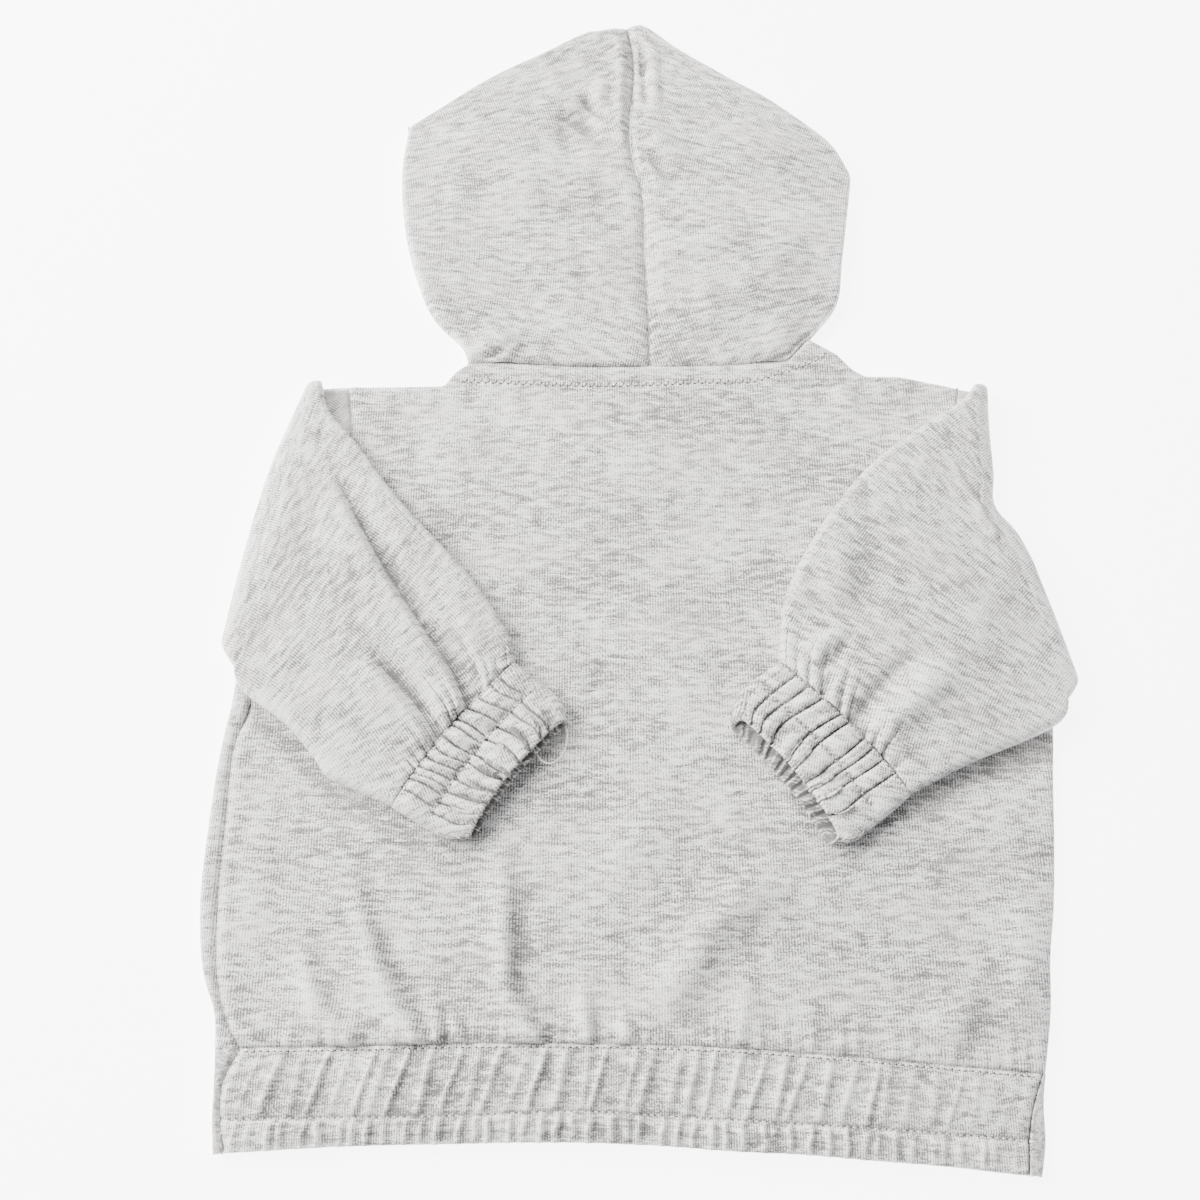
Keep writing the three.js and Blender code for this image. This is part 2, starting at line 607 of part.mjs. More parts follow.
// A hood panel: its top layer, and the under layer that it folds into at the side and at the roof
function hoodPanel(side) {
  const inward = side === 'left' ? LEFT : RIGHT;
  const [sideFold, roofFold] = [route(SIDE_FOLD[side]), route(ROOF_FOLD[side])];
  const neckRows = TOP_LINE.map((row) => row.x)
    .filter((x) => x >= NECK.left && x <= NECK.right && (x - NECK.centre) * inward <= 0)
    .sort((p, q) => (q - p) * inward);
  const places = filled(neckRows.map((x) => Math.abs(x - NECK.centre)), HOOD_COLUMN);
  const span = places[places.length - 1];
  const across = [...places.map((place) => place / span).filter((s) => s < HOOD_TURN_START), HOOD_TURN_MIDDLE, 1];
  const up = [...filled([0, HOOD_TURN_START], HOOD_ROW), HOOD_TURN_MIDDLE, 1];
  const seam = (t) => {
    const y = lerp(TOP_LINE.find((row) => row.x === NECK.centre).back, CROWN.y, t);
    return new THREE.Vector2(read(CENTRE_SEAM, 'y', 'x', y) - inward * SEAM_GAP * 0.5, y);
  };
  const neck = (s, column) => {
    const x = NECK.centre - inward * span * s;
    return new THREE.Vector2(x - inward * SEAM_GAP * 0.5 * (1 - s), read(TOP_LINE, 'x', column, x) + SEAM_GAP);
  };
  // The plan of a layer, blended from its four edges
  const plan = (s, t, column) => {
    const base = neck(s, column);
    const corner = { start: neck(0, column), end: neck(1, column), crown: roofFold(0), side: roofFold(1) };
    const blend = (key) => {
      const rim = lerp(seam(t)[key], t === 0 ? corner.end[key] : sideFold(t)[key], s);
      const roof = lerp(corner.crown[key], corner.side[key], s);
      const foot = lerp(corner.start[key], corner.end[key], s);
      const head = roofFold(s)[key];
      const drop = lerp(base[key] - foot, head - roof, t);
      return rim + drop + (1 - t) * (1 - s) * (corner.start[key] - seam(0)[key]);
    };
    return new THREE.Vector2(blend('x'), blend('y'));
  };
  const outwardOf = (curve, share, turn) => {
    const run = curve(Math.min(share + HOOD_EDGE_REACH, 1)).clone().sub(curve(Math.max(share - HOOD_EDGE_REACH, 0)));
    return new THREE.Vector2(run.y, -run.x).normalize().multiplyScalar(turn);
  };
  const layer = new Layer();
  const spot = (s, t, column, facing) => {
    const at = plan(s, t, column);
    const sideways = t === 0 ? new THREE.Vector2(-inward, 0) : outwardOf(sideFold, t, -inward);
    const roofward = s === 0 ? new THREE.Vector2(0, 1) : outwardOf(roofFold, s, inward);
    const width = Math.abs(plan(1, t, column).sub(seam(t)).dot(sideways));
    const height = Math.abs(plan(s, 1, column).sub(plan(s, 0, column)).dot(roofward));
    let u = 1 - clamp(((1 - s) * width) / HOOD_HALF, 0, 1);
    let v = 1 - clamp(((1 - t) * height) / HOOD_HALF, 0, 1);
    const reach = Math.hypot(u, v);
    if (reach > 1) [u, v] = [u / reach, v / reach];
    const rise = s === 1 || t === 1 ? 0 : Math.sqrt(Math.max(0, 1 - u * u - v * v));
    const plain = sideways.clone().multiplyScalar(u).addScaledVector(roofward, v);
    const normal = new THREE.Vector3(plain.x, plain.y, facing * rise).normalize();
    const lift = facing > 0 ? clamp(relief(HOOD_FOLDS, at.x, at.y), RELIEF_LOW, RELIEF_HIGH) * rise : 0;
    const outer = new THREE.Vector3(at.x, at.y, HOOD_HALF + facing * HOOD_HALF * rise + lift);
    return layer.point(outer, outer.clone().addScaledVector(normal, -CLOTH));
  };
  const top = up.map((t) => across.map((s) => spot(s, t, 'back', 1)));
  const under = up.map((t, j) => across.map((s, i) => {
    if (s === 1 || t === 1) return top[j][i];
    const open = read(FACE_OPENING, 'up', 'share', t);
    return spot(lerp(open, 1, s), t, 'front', -1);
  }));
  layer.weave(top);
  return layer.weave(under.map((row) => [...row].reverse()));
}

const hoodie = new THREE.Group();
hoodie.add(
  piece('front_panel', frontPanel(), FLEECE),
  piece('back_panel', backPanel(), FLEECE),
  piece('waistband_front', waistbandFront(), BAND_FLEECE),
  piece('waistband_back', waistbandBack(), BAND_FLEECE),
  piece('sleeve_left', sleeve('left', LEFT_SLEEVE_FOLDS), FLEECE),
  piece('sleeve_right', sleeve('right', RIGHT_SLEEVE_FOLDS), FLEECE),
  piece('cuff_left', cuff('left'), BAND_FLEECE),
  piece('cuff_right', cuff('right'), BAND_FLEECE),
  piece('hood_left', hoodPanel('left'), FLEECE),
  piece('hood_right', hoodPanel('right'), FLEECE),
);

hoodie.position.set(-BOX_CENTRE.x, -BOX_CENTRE.y, 0);

export default hoodie;
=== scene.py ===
"""A toddler's hoodie in heathered fleece, laid face down with both sleeves folded over its back.

The file is laid out as an add-on and run as a script. Tables and shapes are in millimetres in the plan
of the laid garment, +X to the right, +Y from the waistband to the hood, +Z up; meshes are in metres.
"""
import math

import bmesh
import bpy
import numpy as np
from bpy.props import FloatProperty, FloatVectorProperty, PointerProperty
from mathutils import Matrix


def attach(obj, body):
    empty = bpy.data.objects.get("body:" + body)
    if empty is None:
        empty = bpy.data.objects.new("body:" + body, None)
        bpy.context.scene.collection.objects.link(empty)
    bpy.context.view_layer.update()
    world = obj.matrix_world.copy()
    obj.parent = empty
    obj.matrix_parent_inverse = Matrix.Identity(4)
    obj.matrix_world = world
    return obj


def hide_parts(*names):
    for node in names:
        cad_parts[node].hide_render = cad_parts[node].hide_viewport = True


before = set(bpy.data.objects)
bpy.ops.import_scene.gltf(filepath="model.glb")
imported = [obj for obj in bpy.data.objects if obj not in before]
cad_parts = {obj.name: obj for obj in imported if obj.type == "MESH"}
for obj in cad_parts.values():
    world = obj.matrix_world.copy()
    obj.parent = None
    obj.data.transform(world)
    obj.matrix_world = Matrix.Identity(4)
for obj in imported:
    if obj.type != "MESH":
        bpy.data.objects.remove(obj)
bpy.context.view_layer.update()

bl_info = {
    "name": "Toddler hoodie",
    "version": (1, 0, 0),
    "blender": (4, 5, 0),
    "location": "View3D > Sidebar > Hoodie",
    "description": "Makes the cloth, seams and stitching of a laid toddler's hoodie",
    "category": "Add Mesh",
}

MM = 0.001
SAME_PLACE = 0.00001  # points closer than this, in metres, are one
PLAN_SHIFT = np.array([0.07, 0.32, 0.0])  # from the tables' plan to the part's origin, in millimetres
LEFT, RIGHT = 1, -1  # which way is inward on each side, along X

SIDE_NAMES = {LEFT: "left", RIGHT: "right"}

# How the layers lie, in millimetres
BODY_HALF = 2.9  # half the height of the folded body
TOP = 2 * BODY_HALF  # height of the back over the surface
SLEEVE_REST = 6.2  # height at which a sleeve lies on the back
FOLD_AXIS = 6.0  # height of the line round which a sleeve folds
FOLD_SLACK = 0.2  # space inside a sleeve's fold
HOOD_HALF = 2.9  # half the height of the hood
HOOD_LAP = 0.5  # how far the hood hangs over the neck seam
LIP = 1.3  # radius of the folded edges of the bands and cuffs
BAND_DEPTH = 35.0  # the waistband from its seam to its hem
BAND_INSIDE = 6.0  # how far the waistband's cloth is drawn back up inside the hem
BAND_WAY = BAND_DEPTH + math.pi * LIP + BAND_INSIDE
BAND_END_ROUND = 2.2  # radius of the back band's right end
BAND_FOOT_ROUND = 1.3  # radius of the front band's lower edge
FRONT_BAND_ROLL = 0.09  # share of the front band that turns up at each end
FRONT_BAND_TURN = 1.35  # its turn at the right end, in half turns, laid flat at last under the back band
ROLL_WAY = 16.0  # how much cloth goes round the left side

# Depth and width of the grooves along seams and stitch rows, and of the low banks beside them
SIDE_GROOVE, SIDE_BANK = (1.5, 1.3), (0.4, 2.0)
NECK_GROOVE, NECK_BANK = (1.3, 1.6), (0.5, 2.6)
ARMHOLE_GROOVE = (0.5, 1.0)
WAIST_GROOVE = (0.5, 1.3)
ROLL_GROOVE = (1.6, 1.3)
BAND_SEAM_GROOVE = (0.5, 1.2)
BAND_STITCH_GROOVE = (0.9, 1.0)
SLEEVE_GROOVE = (1.4, 2.0)
SLEEVE_END_GROOVE = (1.2, 1.3)
CUFF_SEAM_GROOVE = (1.0, 1.3)
CUFF_STITCH_GROOVE = (0.8, 1.2)
CENTRE_GROOVE = (1.5, 1.2)
HOOD_FOOT_GROOVE = (1.3, 1.8)

# How much the folds listed below are raised, and how high the cloth swells
BACK_RELIEF = 3.0
SLEEVE_RELIEF = 2.4
HOOD_RELIEF = 2.8
WAIST_RELIEF = 1.5
BAND_RELIEF = 1.8
LOWER_BAND_RELIEF = 1.7  # of the strip below the stitch row, over that
SLEEVE_PUFF = 3.4
SLEEVE_RANGE = (-3.2, 7.0)  # lowest and highest of a sleeve's creases

# Painted shade: the cloth's colour is darkened in its creases and hollows and inside the cuffs, where less
# light gets in, and lightened a little on its ridges
CREASE_REACH = 1.2  # how far to each side a place is compared with others
BROAD_REACH = 6.0  # the same for wide hollows
BROAD_SHARE = 0.7  # how much the wide hollows count
CREST_LIMIT = -0.3  # how far a ridge counts as the opposite of a crease
MOUTH_SHADE = 0.75  # how much darker the cloth is inside a cuff


def table(names, *rows):
    """Rows of numbers as one array for each named column"""
    return dict(zip(names.split(), np.array(rows, float).T))


TOP_LINE = table(
    "x back front",
    (-134.3, 57.6, 57.6),
    (-91.0, 58.5, 58.5),
    (-85.6, 66.0, 61.5),
    (-80.3, 69.8, 63.5),
    (-62.3, 69.9, 50.0),
    (-33.0, 68.3, 40.0),
    (2.9, 68.3, 36.0),
    (25.6, 68.5, 38.5),
    (44.4, 69.3, 45.0),
    (66.5, 71.6, 59.0),
    (76.9, 83.2, 74.0),
    (89.2, 75.3, 70.0),
    (96.0, 66.9, 64.5),
    (101.6, 63.4, 62.0),
    (117.2, 63.0, 62.0),
    (143.4, 56.6, 56.6),
)
NECK_LEFT, NECK_CENTRE, NECK_RIGHT = -80.3, 2.9, 76.9
NECK_BLEND = 5.0  # over this width a shoulder's round edge turns into the neck seam

LEFT_SIDE = table(
    "y fold seam",
    (-225.7, -164.5, -154.6),
    (-212.0, -166.2, -162.3),
    (-200.0, -171.2, -166.0),
    (-177.6, -175.6, -168.6),
    (-140.0, -176.2, -169.2),
    (-108.0, -174.4, -168.6),
    (-91.0, -172.2, -164.4),
    (-70.7, -171.0, -162.8),
)
RIGHT_SIDE = table(
    "y edge",
    (-234.2, 146.5),
    (-212.0, 151.3),
    (-191.0, 153.9),
    (-175.0, 157.2),
    (-149.4, 160.9),
    (-123.0, 163.9),
    (-102.2, 166.6),
    (-75.3, 166.5),
)
SHOULDER = {LEFT: (-134.3, 57.6), RIGHT: (143.4, 56.6)}
UNDERARM = {LEFT: (-162.8, -70.7), RIGHT: (166.5, -75.3)}
UNDERARM_ROW = 0.548
ARMHOLE_BOW = 14.0

WAIST_LINES = table(
    "x seam stitch hem",
    (-166, -225.0, -249.1, -261.2),
    (-154, -224.7, -249.1, -260.6),
    (-115, -224.2, -248.7, -258.5),
    (-80, -223.3, -248.2, -257.7),
    (-20, -223.3, -246.7, -257.3),
    (5, -223.8, -248.2, -258.4),
    (30, -224.7, -249.5, -260.1),
    (55, -226.4, -250.9, -261.2),
    (80, -228.3, -252.3, -263.2),
    (104, -230.3, -253.9, -264.9),
    (128, -232.3, -255.8, -267.4),
    (148, -234.0, -257.6, -269.3),
)
STITCH_SHARE = 0.66  # share of the band between its seam and its stitch row
BAND_ENDS = table(
    "share fold leftSeam rightBack rightFront",
    (0.0, -164.5, -154.6, 145.5, 146.5),
    (0.33, -163.6, -160.0, 140.5, 144.6),
    (0.66, -163.0, -159.6, 137.6, 143.8),
    (1.0, -161.4, -157.2, 136.3, 141.0),
)

# Gathers: how far apart, how high and wide, and how far their tops lean over
GATHERS = {
    "band_upper": dict(
        seed=5, first=-158, last=146, pitch=8.2, height=(0.5, 1.25), width=(1.1, 2.3), lean=7.5,
    ),
    "band_lower": dict(
        seed=8, first=-160, last=140, pitch=6.2, height=(0.4, 1.05), width=(1.0, 1.7), lean=0.6,
    ),
    "waist": dict(
        seed=12, first=-158, last=146, pitch=5.6, height=(0.2, 1.0), width=(0.9, 1.9), lean=0.8,
    ),
}

FOLD_LINE = {
    LEFT: dict(a=(-145.2, 56.9), b=(-172.0, -67.4), top=(-171.0, -77.0)),
    RIGHT: dict(a=(149.1, 55.4), b=(172.1, -83.0), top=(171.4, -91.5)),
}
FOLD_BOW = {
    LEFT: table("along bow", (0, 0), (0.14, -2.0), (0.32, -4.2), (0.5, -4.2), (0.7, -3.0), (1, 0)),
    RIGHT: table(
        "along bow",
        (0, 0), (0.13, 4.4), (0.31, 9.2), (0.45, 12.4), (0.5, 8.2), (0.58, 4.8), (0.71, 2.8),
        (0.85, 1.2), (1, 0),
    ),
}
UPPER_EDGE = {
    LEFT: (
        (-145.2, 56.9), (-140.9, 42.5), (-127.6, 26.1), (-108.5, 0.3), (-87.4, -23.2), (-74.0, -38.4),
        (-58.1, -62.1), (-54.8, -75.4),
    ),
    RIGHT: (
        (149.1, 55.4), (141.1, 46.1), (117.3, 30.0), (97.0, 13.3), (76.5, -12.3), (60.2, -41.3),
        (55.2, -62.1), (54.2, -75.4),
    ),
}
LOWER_EDGE = {
    LEFT: (
        (-171.0, -77.0), (-168.0, -85.6), (-160.3, -92.2), (-147.2, -101.8), (-134.7, -115.4),
        (-129.0, -123.2), (-119.7, -127.6), (-102.1, -135.2),
    ),
    RIGHT: (
        (171.4, -91.5), (170.0, -97.6), (164.5, -102.5), (152.0, -108.5), (126.7, -118.7), (103.6, -130.4),
    ),
}
CUFF_SEAM_BOW = -4.0
SLEEVE_HALF = table("share half", (0, 3.7), (0.4, 3.9), (0.75, 3.9), (1, 3.3))
SLEEVE_LENGTH = 118.0  # from the fold to the cuff seam
SEAM_TO_FOLD = 14.0  # how much of a sleeve lies between the armhole and the fold
FOLD_BOW_FADE = 0.35  # over this share of its length a sleeve's edge loses the fold's bow
RING_TOP, RING_TURN, RING_UNDER = 0.52, 0.09, 0.30  # shares of a ring's points on each part of it
KNIT_CENTRE = {LEFT: (-238.0, -202.0), RIGHT: (285.0, -170.0)}  # middle of the arcs of a sleeve's knit
KNIT_REACH = 200.0  # the knit's distance from it, where its lines have their true spacing

CUFF_RINGS = {
    LEFT: table(
        "at ax ay bx by half overhang",
        (0.0, -54.6, -75.7, -101.9, -135.6, 3.3, 0.0),
        (0.27, -49.0, -80.6, -95.4, -139.6, 3.8, 0.3),
        (0.48, -43.4, -84.6, -88.2, -143.8, 3.4, 0.7),
        (1.0, -31.0, -95.6, -74.0, -150.8, 3.7, 1.5),
    ),
    RIGHT: table(
        "at ax ay bx by half overhang",
        (0.0, 54.0, -75.7, 103.4, -130.8, 3.3, 0.0),
        (0.27, 47.6, -80.2, 97.0, -136.4, 3.8, 1.5),
        (0.48, 41.6, -84.6, 89.4, -142.0, 3.4, 3.0),
        (1.0, 32.0, -95.4, 75.8, -152.2, 3.7, 5.0),
    ),
}
CUFF_STITCH = 0.48  # share of the cuff between its seam and its stitch row
CUFF_STEPS = dict(top=280, turn=8, under=90)
CUFF_LENGTH = 30.0
CUFF_LIFT = 0.5  # height of a cuff over the sleeve's own level
CUFF_CORNER = 7.0  # how far the mouth's two corners are rounded in
CUFF_SIDE = 4.0  # width of the flat tube's two sides at the mouth
CUFF_INSIDE = (3.0, 7.0, 11.0)  # how far up inside the cuff its last rings lie
CUFF_WIDTH = 76.0  # along the stitch row
TROUGH_HALF, TROUGH_DEPTH = 0.6, 2.8  # the narrow troughs between a cuff's gathers
CUFF_PLEATS = {
    LEFT: dict(seed=3, upper=14, lower=11, under=14, height=3.6, through=False, below=0.35),
    RIGHT: dict(seed=9, upper=10, lower=10, under=14, height=3.0, through=True, below=0.75),
}

CENTRE_SEAM = table(
    "y x",
    (68.3, 2.9), (95.7, 2.6), (122.2, 1.6), (165.9, 0.2), (187.1, -4.0), (251.4, -3.4), (268.0, -6.1),
)
CROWN = (-6.1, 268.0)
SIDE_FOLD = {
    LEFT: (
        (-80.3, 70.4), (-84.0, 79.4), (-97.2, 94.1), (-106.2, 115.0), (-113.2, 142.2), (-116.7, 175.6),
        (-114.8, 203.6),
    ),
    RIGHT: ((76.9, 84.0), (87.7, 95.7), (92.7, 106.1), (95.3, 124.0), (102.2, 167.9), (103.1, 173.8)),
}
ROOF_FOLD = {
    LEFT: (
        CROWN, (-19.7, 265.0), (-28.0, 263.0), (-47.3, 251.2), (-73.0, 235.7), (-98.0, 216.7),
        (-114.8, 203.6),
    ),
    RIGHT: (CROWN, (4.0, 267.0), (22.7, 251.2), (46.6, 233.1), (66.7, 218.6), (92.3, 195.0), (103.1, 173.8)),
}
FACE_OPENING = table(
    "up share", (0, 0), (0.06, 0.12), (0.25, 0.3), (0.5, 0.34), (0.68, 0.25), (0.8, 0), (1, 0),
)
HOOD_FOOT = 68.3  # where the centre seam meets the neck seam
HOOD_KNIT = {LEFT: (-328.0, 132.0), RIGHT: (230.0, 139.0)}  # middle of the fan of a panel's courses
HOOD_REACH = {LEFT: 268.0, RIGHT: 180.0}  # distance from it, where the courses have their true spacing
HOOD_PUCKERS = {LEFT: dict(reach=6.5, strength=1.0), RIGHT: dict(reach=4.0, strength=0.35)}
PUCKER_ROW = dict(first=90, last=264, pitch=4.2, height=(0.15, 0.65), width=(0.9, 1.9), tilt=(-0.1, 0.5))
HIGH_PUCKERS = (180, 1.8)  # above this place the wrinkles beside the seam are that much higher

# Sewing: the rows' pitch and the threads' radius
WAIST_PITCH, CUFF_PITCH, NECK_PITCH = 2.6, 2.4, 1.7
WAIST_ROWS = (0.035, STITCH_SHARE)  # shares of the band's depth
CUFF_ROWS = (0.03, CUFF_STITCH)  # shares of the cuff's length
NECK_SWAY = 0.75  # half the width of the zigzag below the neck
WAIST_THREAD, CUFF_THREAD, NECK_THREAD, LOOSE_THREAD = 0.3, 0.28, 0.32, 0.3
WAIST_HOLE, CUFF_HOLE, NECK_HOLE = 0.36, 0.34, 0.42
END_TAPER = 0.45  # how thin a stitch is at its ends
HOLE_LENGTH = {"row": 0.8, "neck": 1.0}
NECK_ROW = (
    (-83.5, 60.3), (-72.1, 59.5), (-32.9, 57.7), (3.5, 58.2), (25.3, 59.3), (48.6, 59.8), (60.1, 63.7),
    (72.2, 67.8), (84.1, 73.9),
)
THREAD_END = (
    (-45.5, -113.0, 8.6), (-43.0, -116.5, 9.6), (-39.0, -117.6, 10.4), (-35.0, -114.5, 10.6),
    (-33.0, -109.0, 10.2), (-33.2, -103.5, 9.4), (-35.5, -100.5, 8.8),
)
FIBRE = np.array(((98.4, 23.0), (99.4, 22.0), (100.6, 20.9)))
FIBRE_RADIUS = 0.28
# painted shade of the needle holes, and the dark fibre's own colour
DARK = (0.09, 0.08, 0.075)  # needle holes and the dark fibre
FLOOR_DROP = 0.0001  # in metres, so that the floor lies clear of the cloth
LAMPS = (  # name, place and size in metres
    ("Window light", (-1.35, 0.3, 1.05), 1.2),
    ("Top light", (-0.2, 1.4, 1.3), 1.2),
    ("Fill light", (1.1, -0.7, 1.4), 1.6),
)
LAMP_COLOUR = (1.0, 0.985, 0.965)
ROOM_COLOUR = (0.93, 0.95, 1.0)


def fold(line, height, left, right, start=0.3, end=0.3):
    """A ridge, or a trough below zero, along a line: its widths to the left and right of the way it runs,
    and the shares of its length over which it rises and dies away"""
    return dict(line=line, height=height, left=left, right=right, start=start, end=end)


# Painted shadow: soft dark lines on the back's colour along the edges of the sleeves that lie on it
CONTACT_SHADE = [
    fold(((-172, -92), (-160, -97), (-147, -106), (-134, -120), (-120, -132), (-104, -139)),
         0.5, 6, 6, 0, 0.1),
    fold(((-104, -139), (-92, -146), (-80, -151)), 0.3, 5, 5, 0, 0.3),
    fold(((168, -104), (154, -113), (128, -124), (104, -136), (88, -146)), 0.35, 5, 5, 0, 0.1),
    fold(((-138, 62), (-118, 40), (-96, 2), (-76, -30), (-62, -46)), 0.25, 5, 5, 0.1, 0.1),
    fold(((132, 62), (110, 36), (86, 2), (66, -30), (54, -46)), 0.2, 4, 4, 0.1, 0.1),
]

BACK_FOLDS = [
    fold(((-140, -176), (-132, -198), (-125.8, -209.5), (-114.9, -218.7), (-112.3, -223.6)),
         1.5, 3.2, 6.5, 0.7, 0),
    fold(((-124, -150), (-113, -176), (-104, -196), (-97, -208), (-91.5, -215.5), (-87, -222.9)),
         2.1, 3.4, 8, 0.7, 0),
    fold(((-84.4, -205), (-79.9, -222.2)), 1.2, 2.2, 3.4, 0.7, 0),
    fold(((-78.1, -210), (-71.3, -222.2)), 0.9, 2, 2.8, 0.7, 0),
    fold(((-62, -140), (-58, -160), (-56, -185), (-55, -203.4), (-49.1, -213), (-44, -222.2)),
         1.9, 3.4, 8, 0.6, 0),
    fold(((-27.3, -201), (-24.2, -222.2)), 1.4, 2.4, 4.4, 0.7, 0),
    fold(((-11.8, -208), (-9.3, -222.2)), 1.0, 2.2, 3.4, 0.7, 0),
    fold(((64, -150), (42, -166), (24, -180), (12, -198), (-1, -217.6)), 1.4, 9, 10, 0.5, 0.2),
    fold(((38, -196), (32, -222)), 0.8, 5, 5, 0.7, 0),
    fold(((127.6, -196), (117, -210), (105.4, -223.6)), 1.0, 8, 9, 0.6, 0.1),
    fold(((147, -150), (143, -190), (138, -222)), 0.7, 8, 8, 0.5, 0.2),
    fold(((-154, -130), (-157, -156), (-155, -190)), 0.5, 9, 6, 0.5, 0.4),
    fold(((-169, -92), (-160, -98), (-147, -108), (-134, -122), (-120, -134), (-104, -141)),
         -0.75, 7, 6, 0.1, 0.2),
    fold(((168, -104), (154, -115), (128, -126), (104, -138)), -0.5, 7, 6, 0.1, 0.2),
    fold(((10, -120), (-6, -150), (-14, -176)), 0.7, 12, 12, 0.5, 0.5),
    fold(((-70, 40), (-20, 20), (40, 24)), 0.6, 14, 18, 0.4, 0.4),
    fold(((84, 58), (92, 50), (96, 38)), 0.9, 4, 5, 0.3, 0.6),
    fold(((-20, -20), (10, -60), (24, -110)), 0.6, 16, 16, 0.4, 0.4),
]
SLEEVE_FOLDS = {
    LEFT: [
        fold(((-138, 18), (-129.6, 0.3), (-115, -25.9), (-102.8, -45.4), (-90.6, -63.1), (-80.5, -77.3),
              (-74.6, -90.1), (-71.4, -101)), -3.0, 6.5, 1.5, 0.35, 0),
        fold(((-142, 16), (-133, -3), (-118.5, -28), (-106, -48), (-94, -66), (-84, -80), (-78, -93),
              (-75, -103)), 1.9, 2.2, 13, 0.4, 0.05),
        fold(((-84, -56), (-77, -72), (-70, -86), (-66.3, -97)), -2.3, 2.6, 1.4, 0.4, 0),
        fold(((-80, -50), (-73, -66), (-66, -82), (-62, -93)), 1.1, 5, 2.6, 0.5, 0.1),
        fold(((-121, -68), (-106, -80.5), (-93, -94.8), (-84.4, -108.2)), -2.2, 5.0, 1.6, 0.5, 0),
        fold(((-126, -72), (-110, -84.5), (-97, -98.8), (-88.5, -111)), 1.3, 2.2, 8, 0.5, 0.05),
        fold(((-108, -101), (-100, -108), (-93, -118)), -0.9, 3, 2.4, 0.6, 0),
        fold(((-112, 4), (-100, -14), (-88, -30)), 0.9, 5, 8, 0.4, 0.4),
        fold(((-152, 20), (-156, -10), (-160, -44)), 0.7, 8, 6, 0.4, 0.4),
        fold(((-140, -60), (-150, -74), (-152, -86)), 0.7, 6, 8, 0.4, 0.4),
        fold(((-101, -28), (-84, -52), (-76, -66)), -0.8, 3.5, 3.5, 0.5, 0.3),
    ],
    RIGHT: [
        fold(((99, -14), (94, -32), (90, -50), (90, -64)), -1.5, 7, 9, 0.5, 0.35),
        fold(((88, -12), (81, -30), (80, -48), (79, -62)), 1.3, 10, 6, 0.5, 0.4),
        fold(((82, -58), (74, -66), (62, -70)), 1.4, 8, 3.2, 0.3, 0.35),
        fold(((84, -66), (75, -76), (67, -79)), -1.3, 2.6, 3.4, 0.25, 0.3),
        fold(((126, -70), (108, -76), (95, -87), (84, -101)), -1.6, 8, 3.6, 0.6, 0),
        fold(((134, -80), (116, -86), (104, -96), (93, -109)), 1.5, 6, 9, 0.5, 0.1),
        fold(((140, 5), (147, -4), (154.5, -11)), -1.6, 3.4, 2.2, 0.6, 0),
        fold(((138, -4), (145, -11), (152, -19)), 1.0, 5, 6, 0.5, 0.1),
        fold(((80, -76), (75, -82), (72, -89)), -1.3, 2, 2, 0.5, 0),
        fold(((142, -104), (128, -110), (112, -116)), 0.8, 3, 5, 0.4, 0.3),
        fold(((130, 22), (112, 6), (99, -12)), 0.8, 8, 8, 0.4, 0.4),
        fold(((150, -50), (136, -62), (124, -78)), 0.6, 10, 10, 0.4, 0.4),
    ],
}
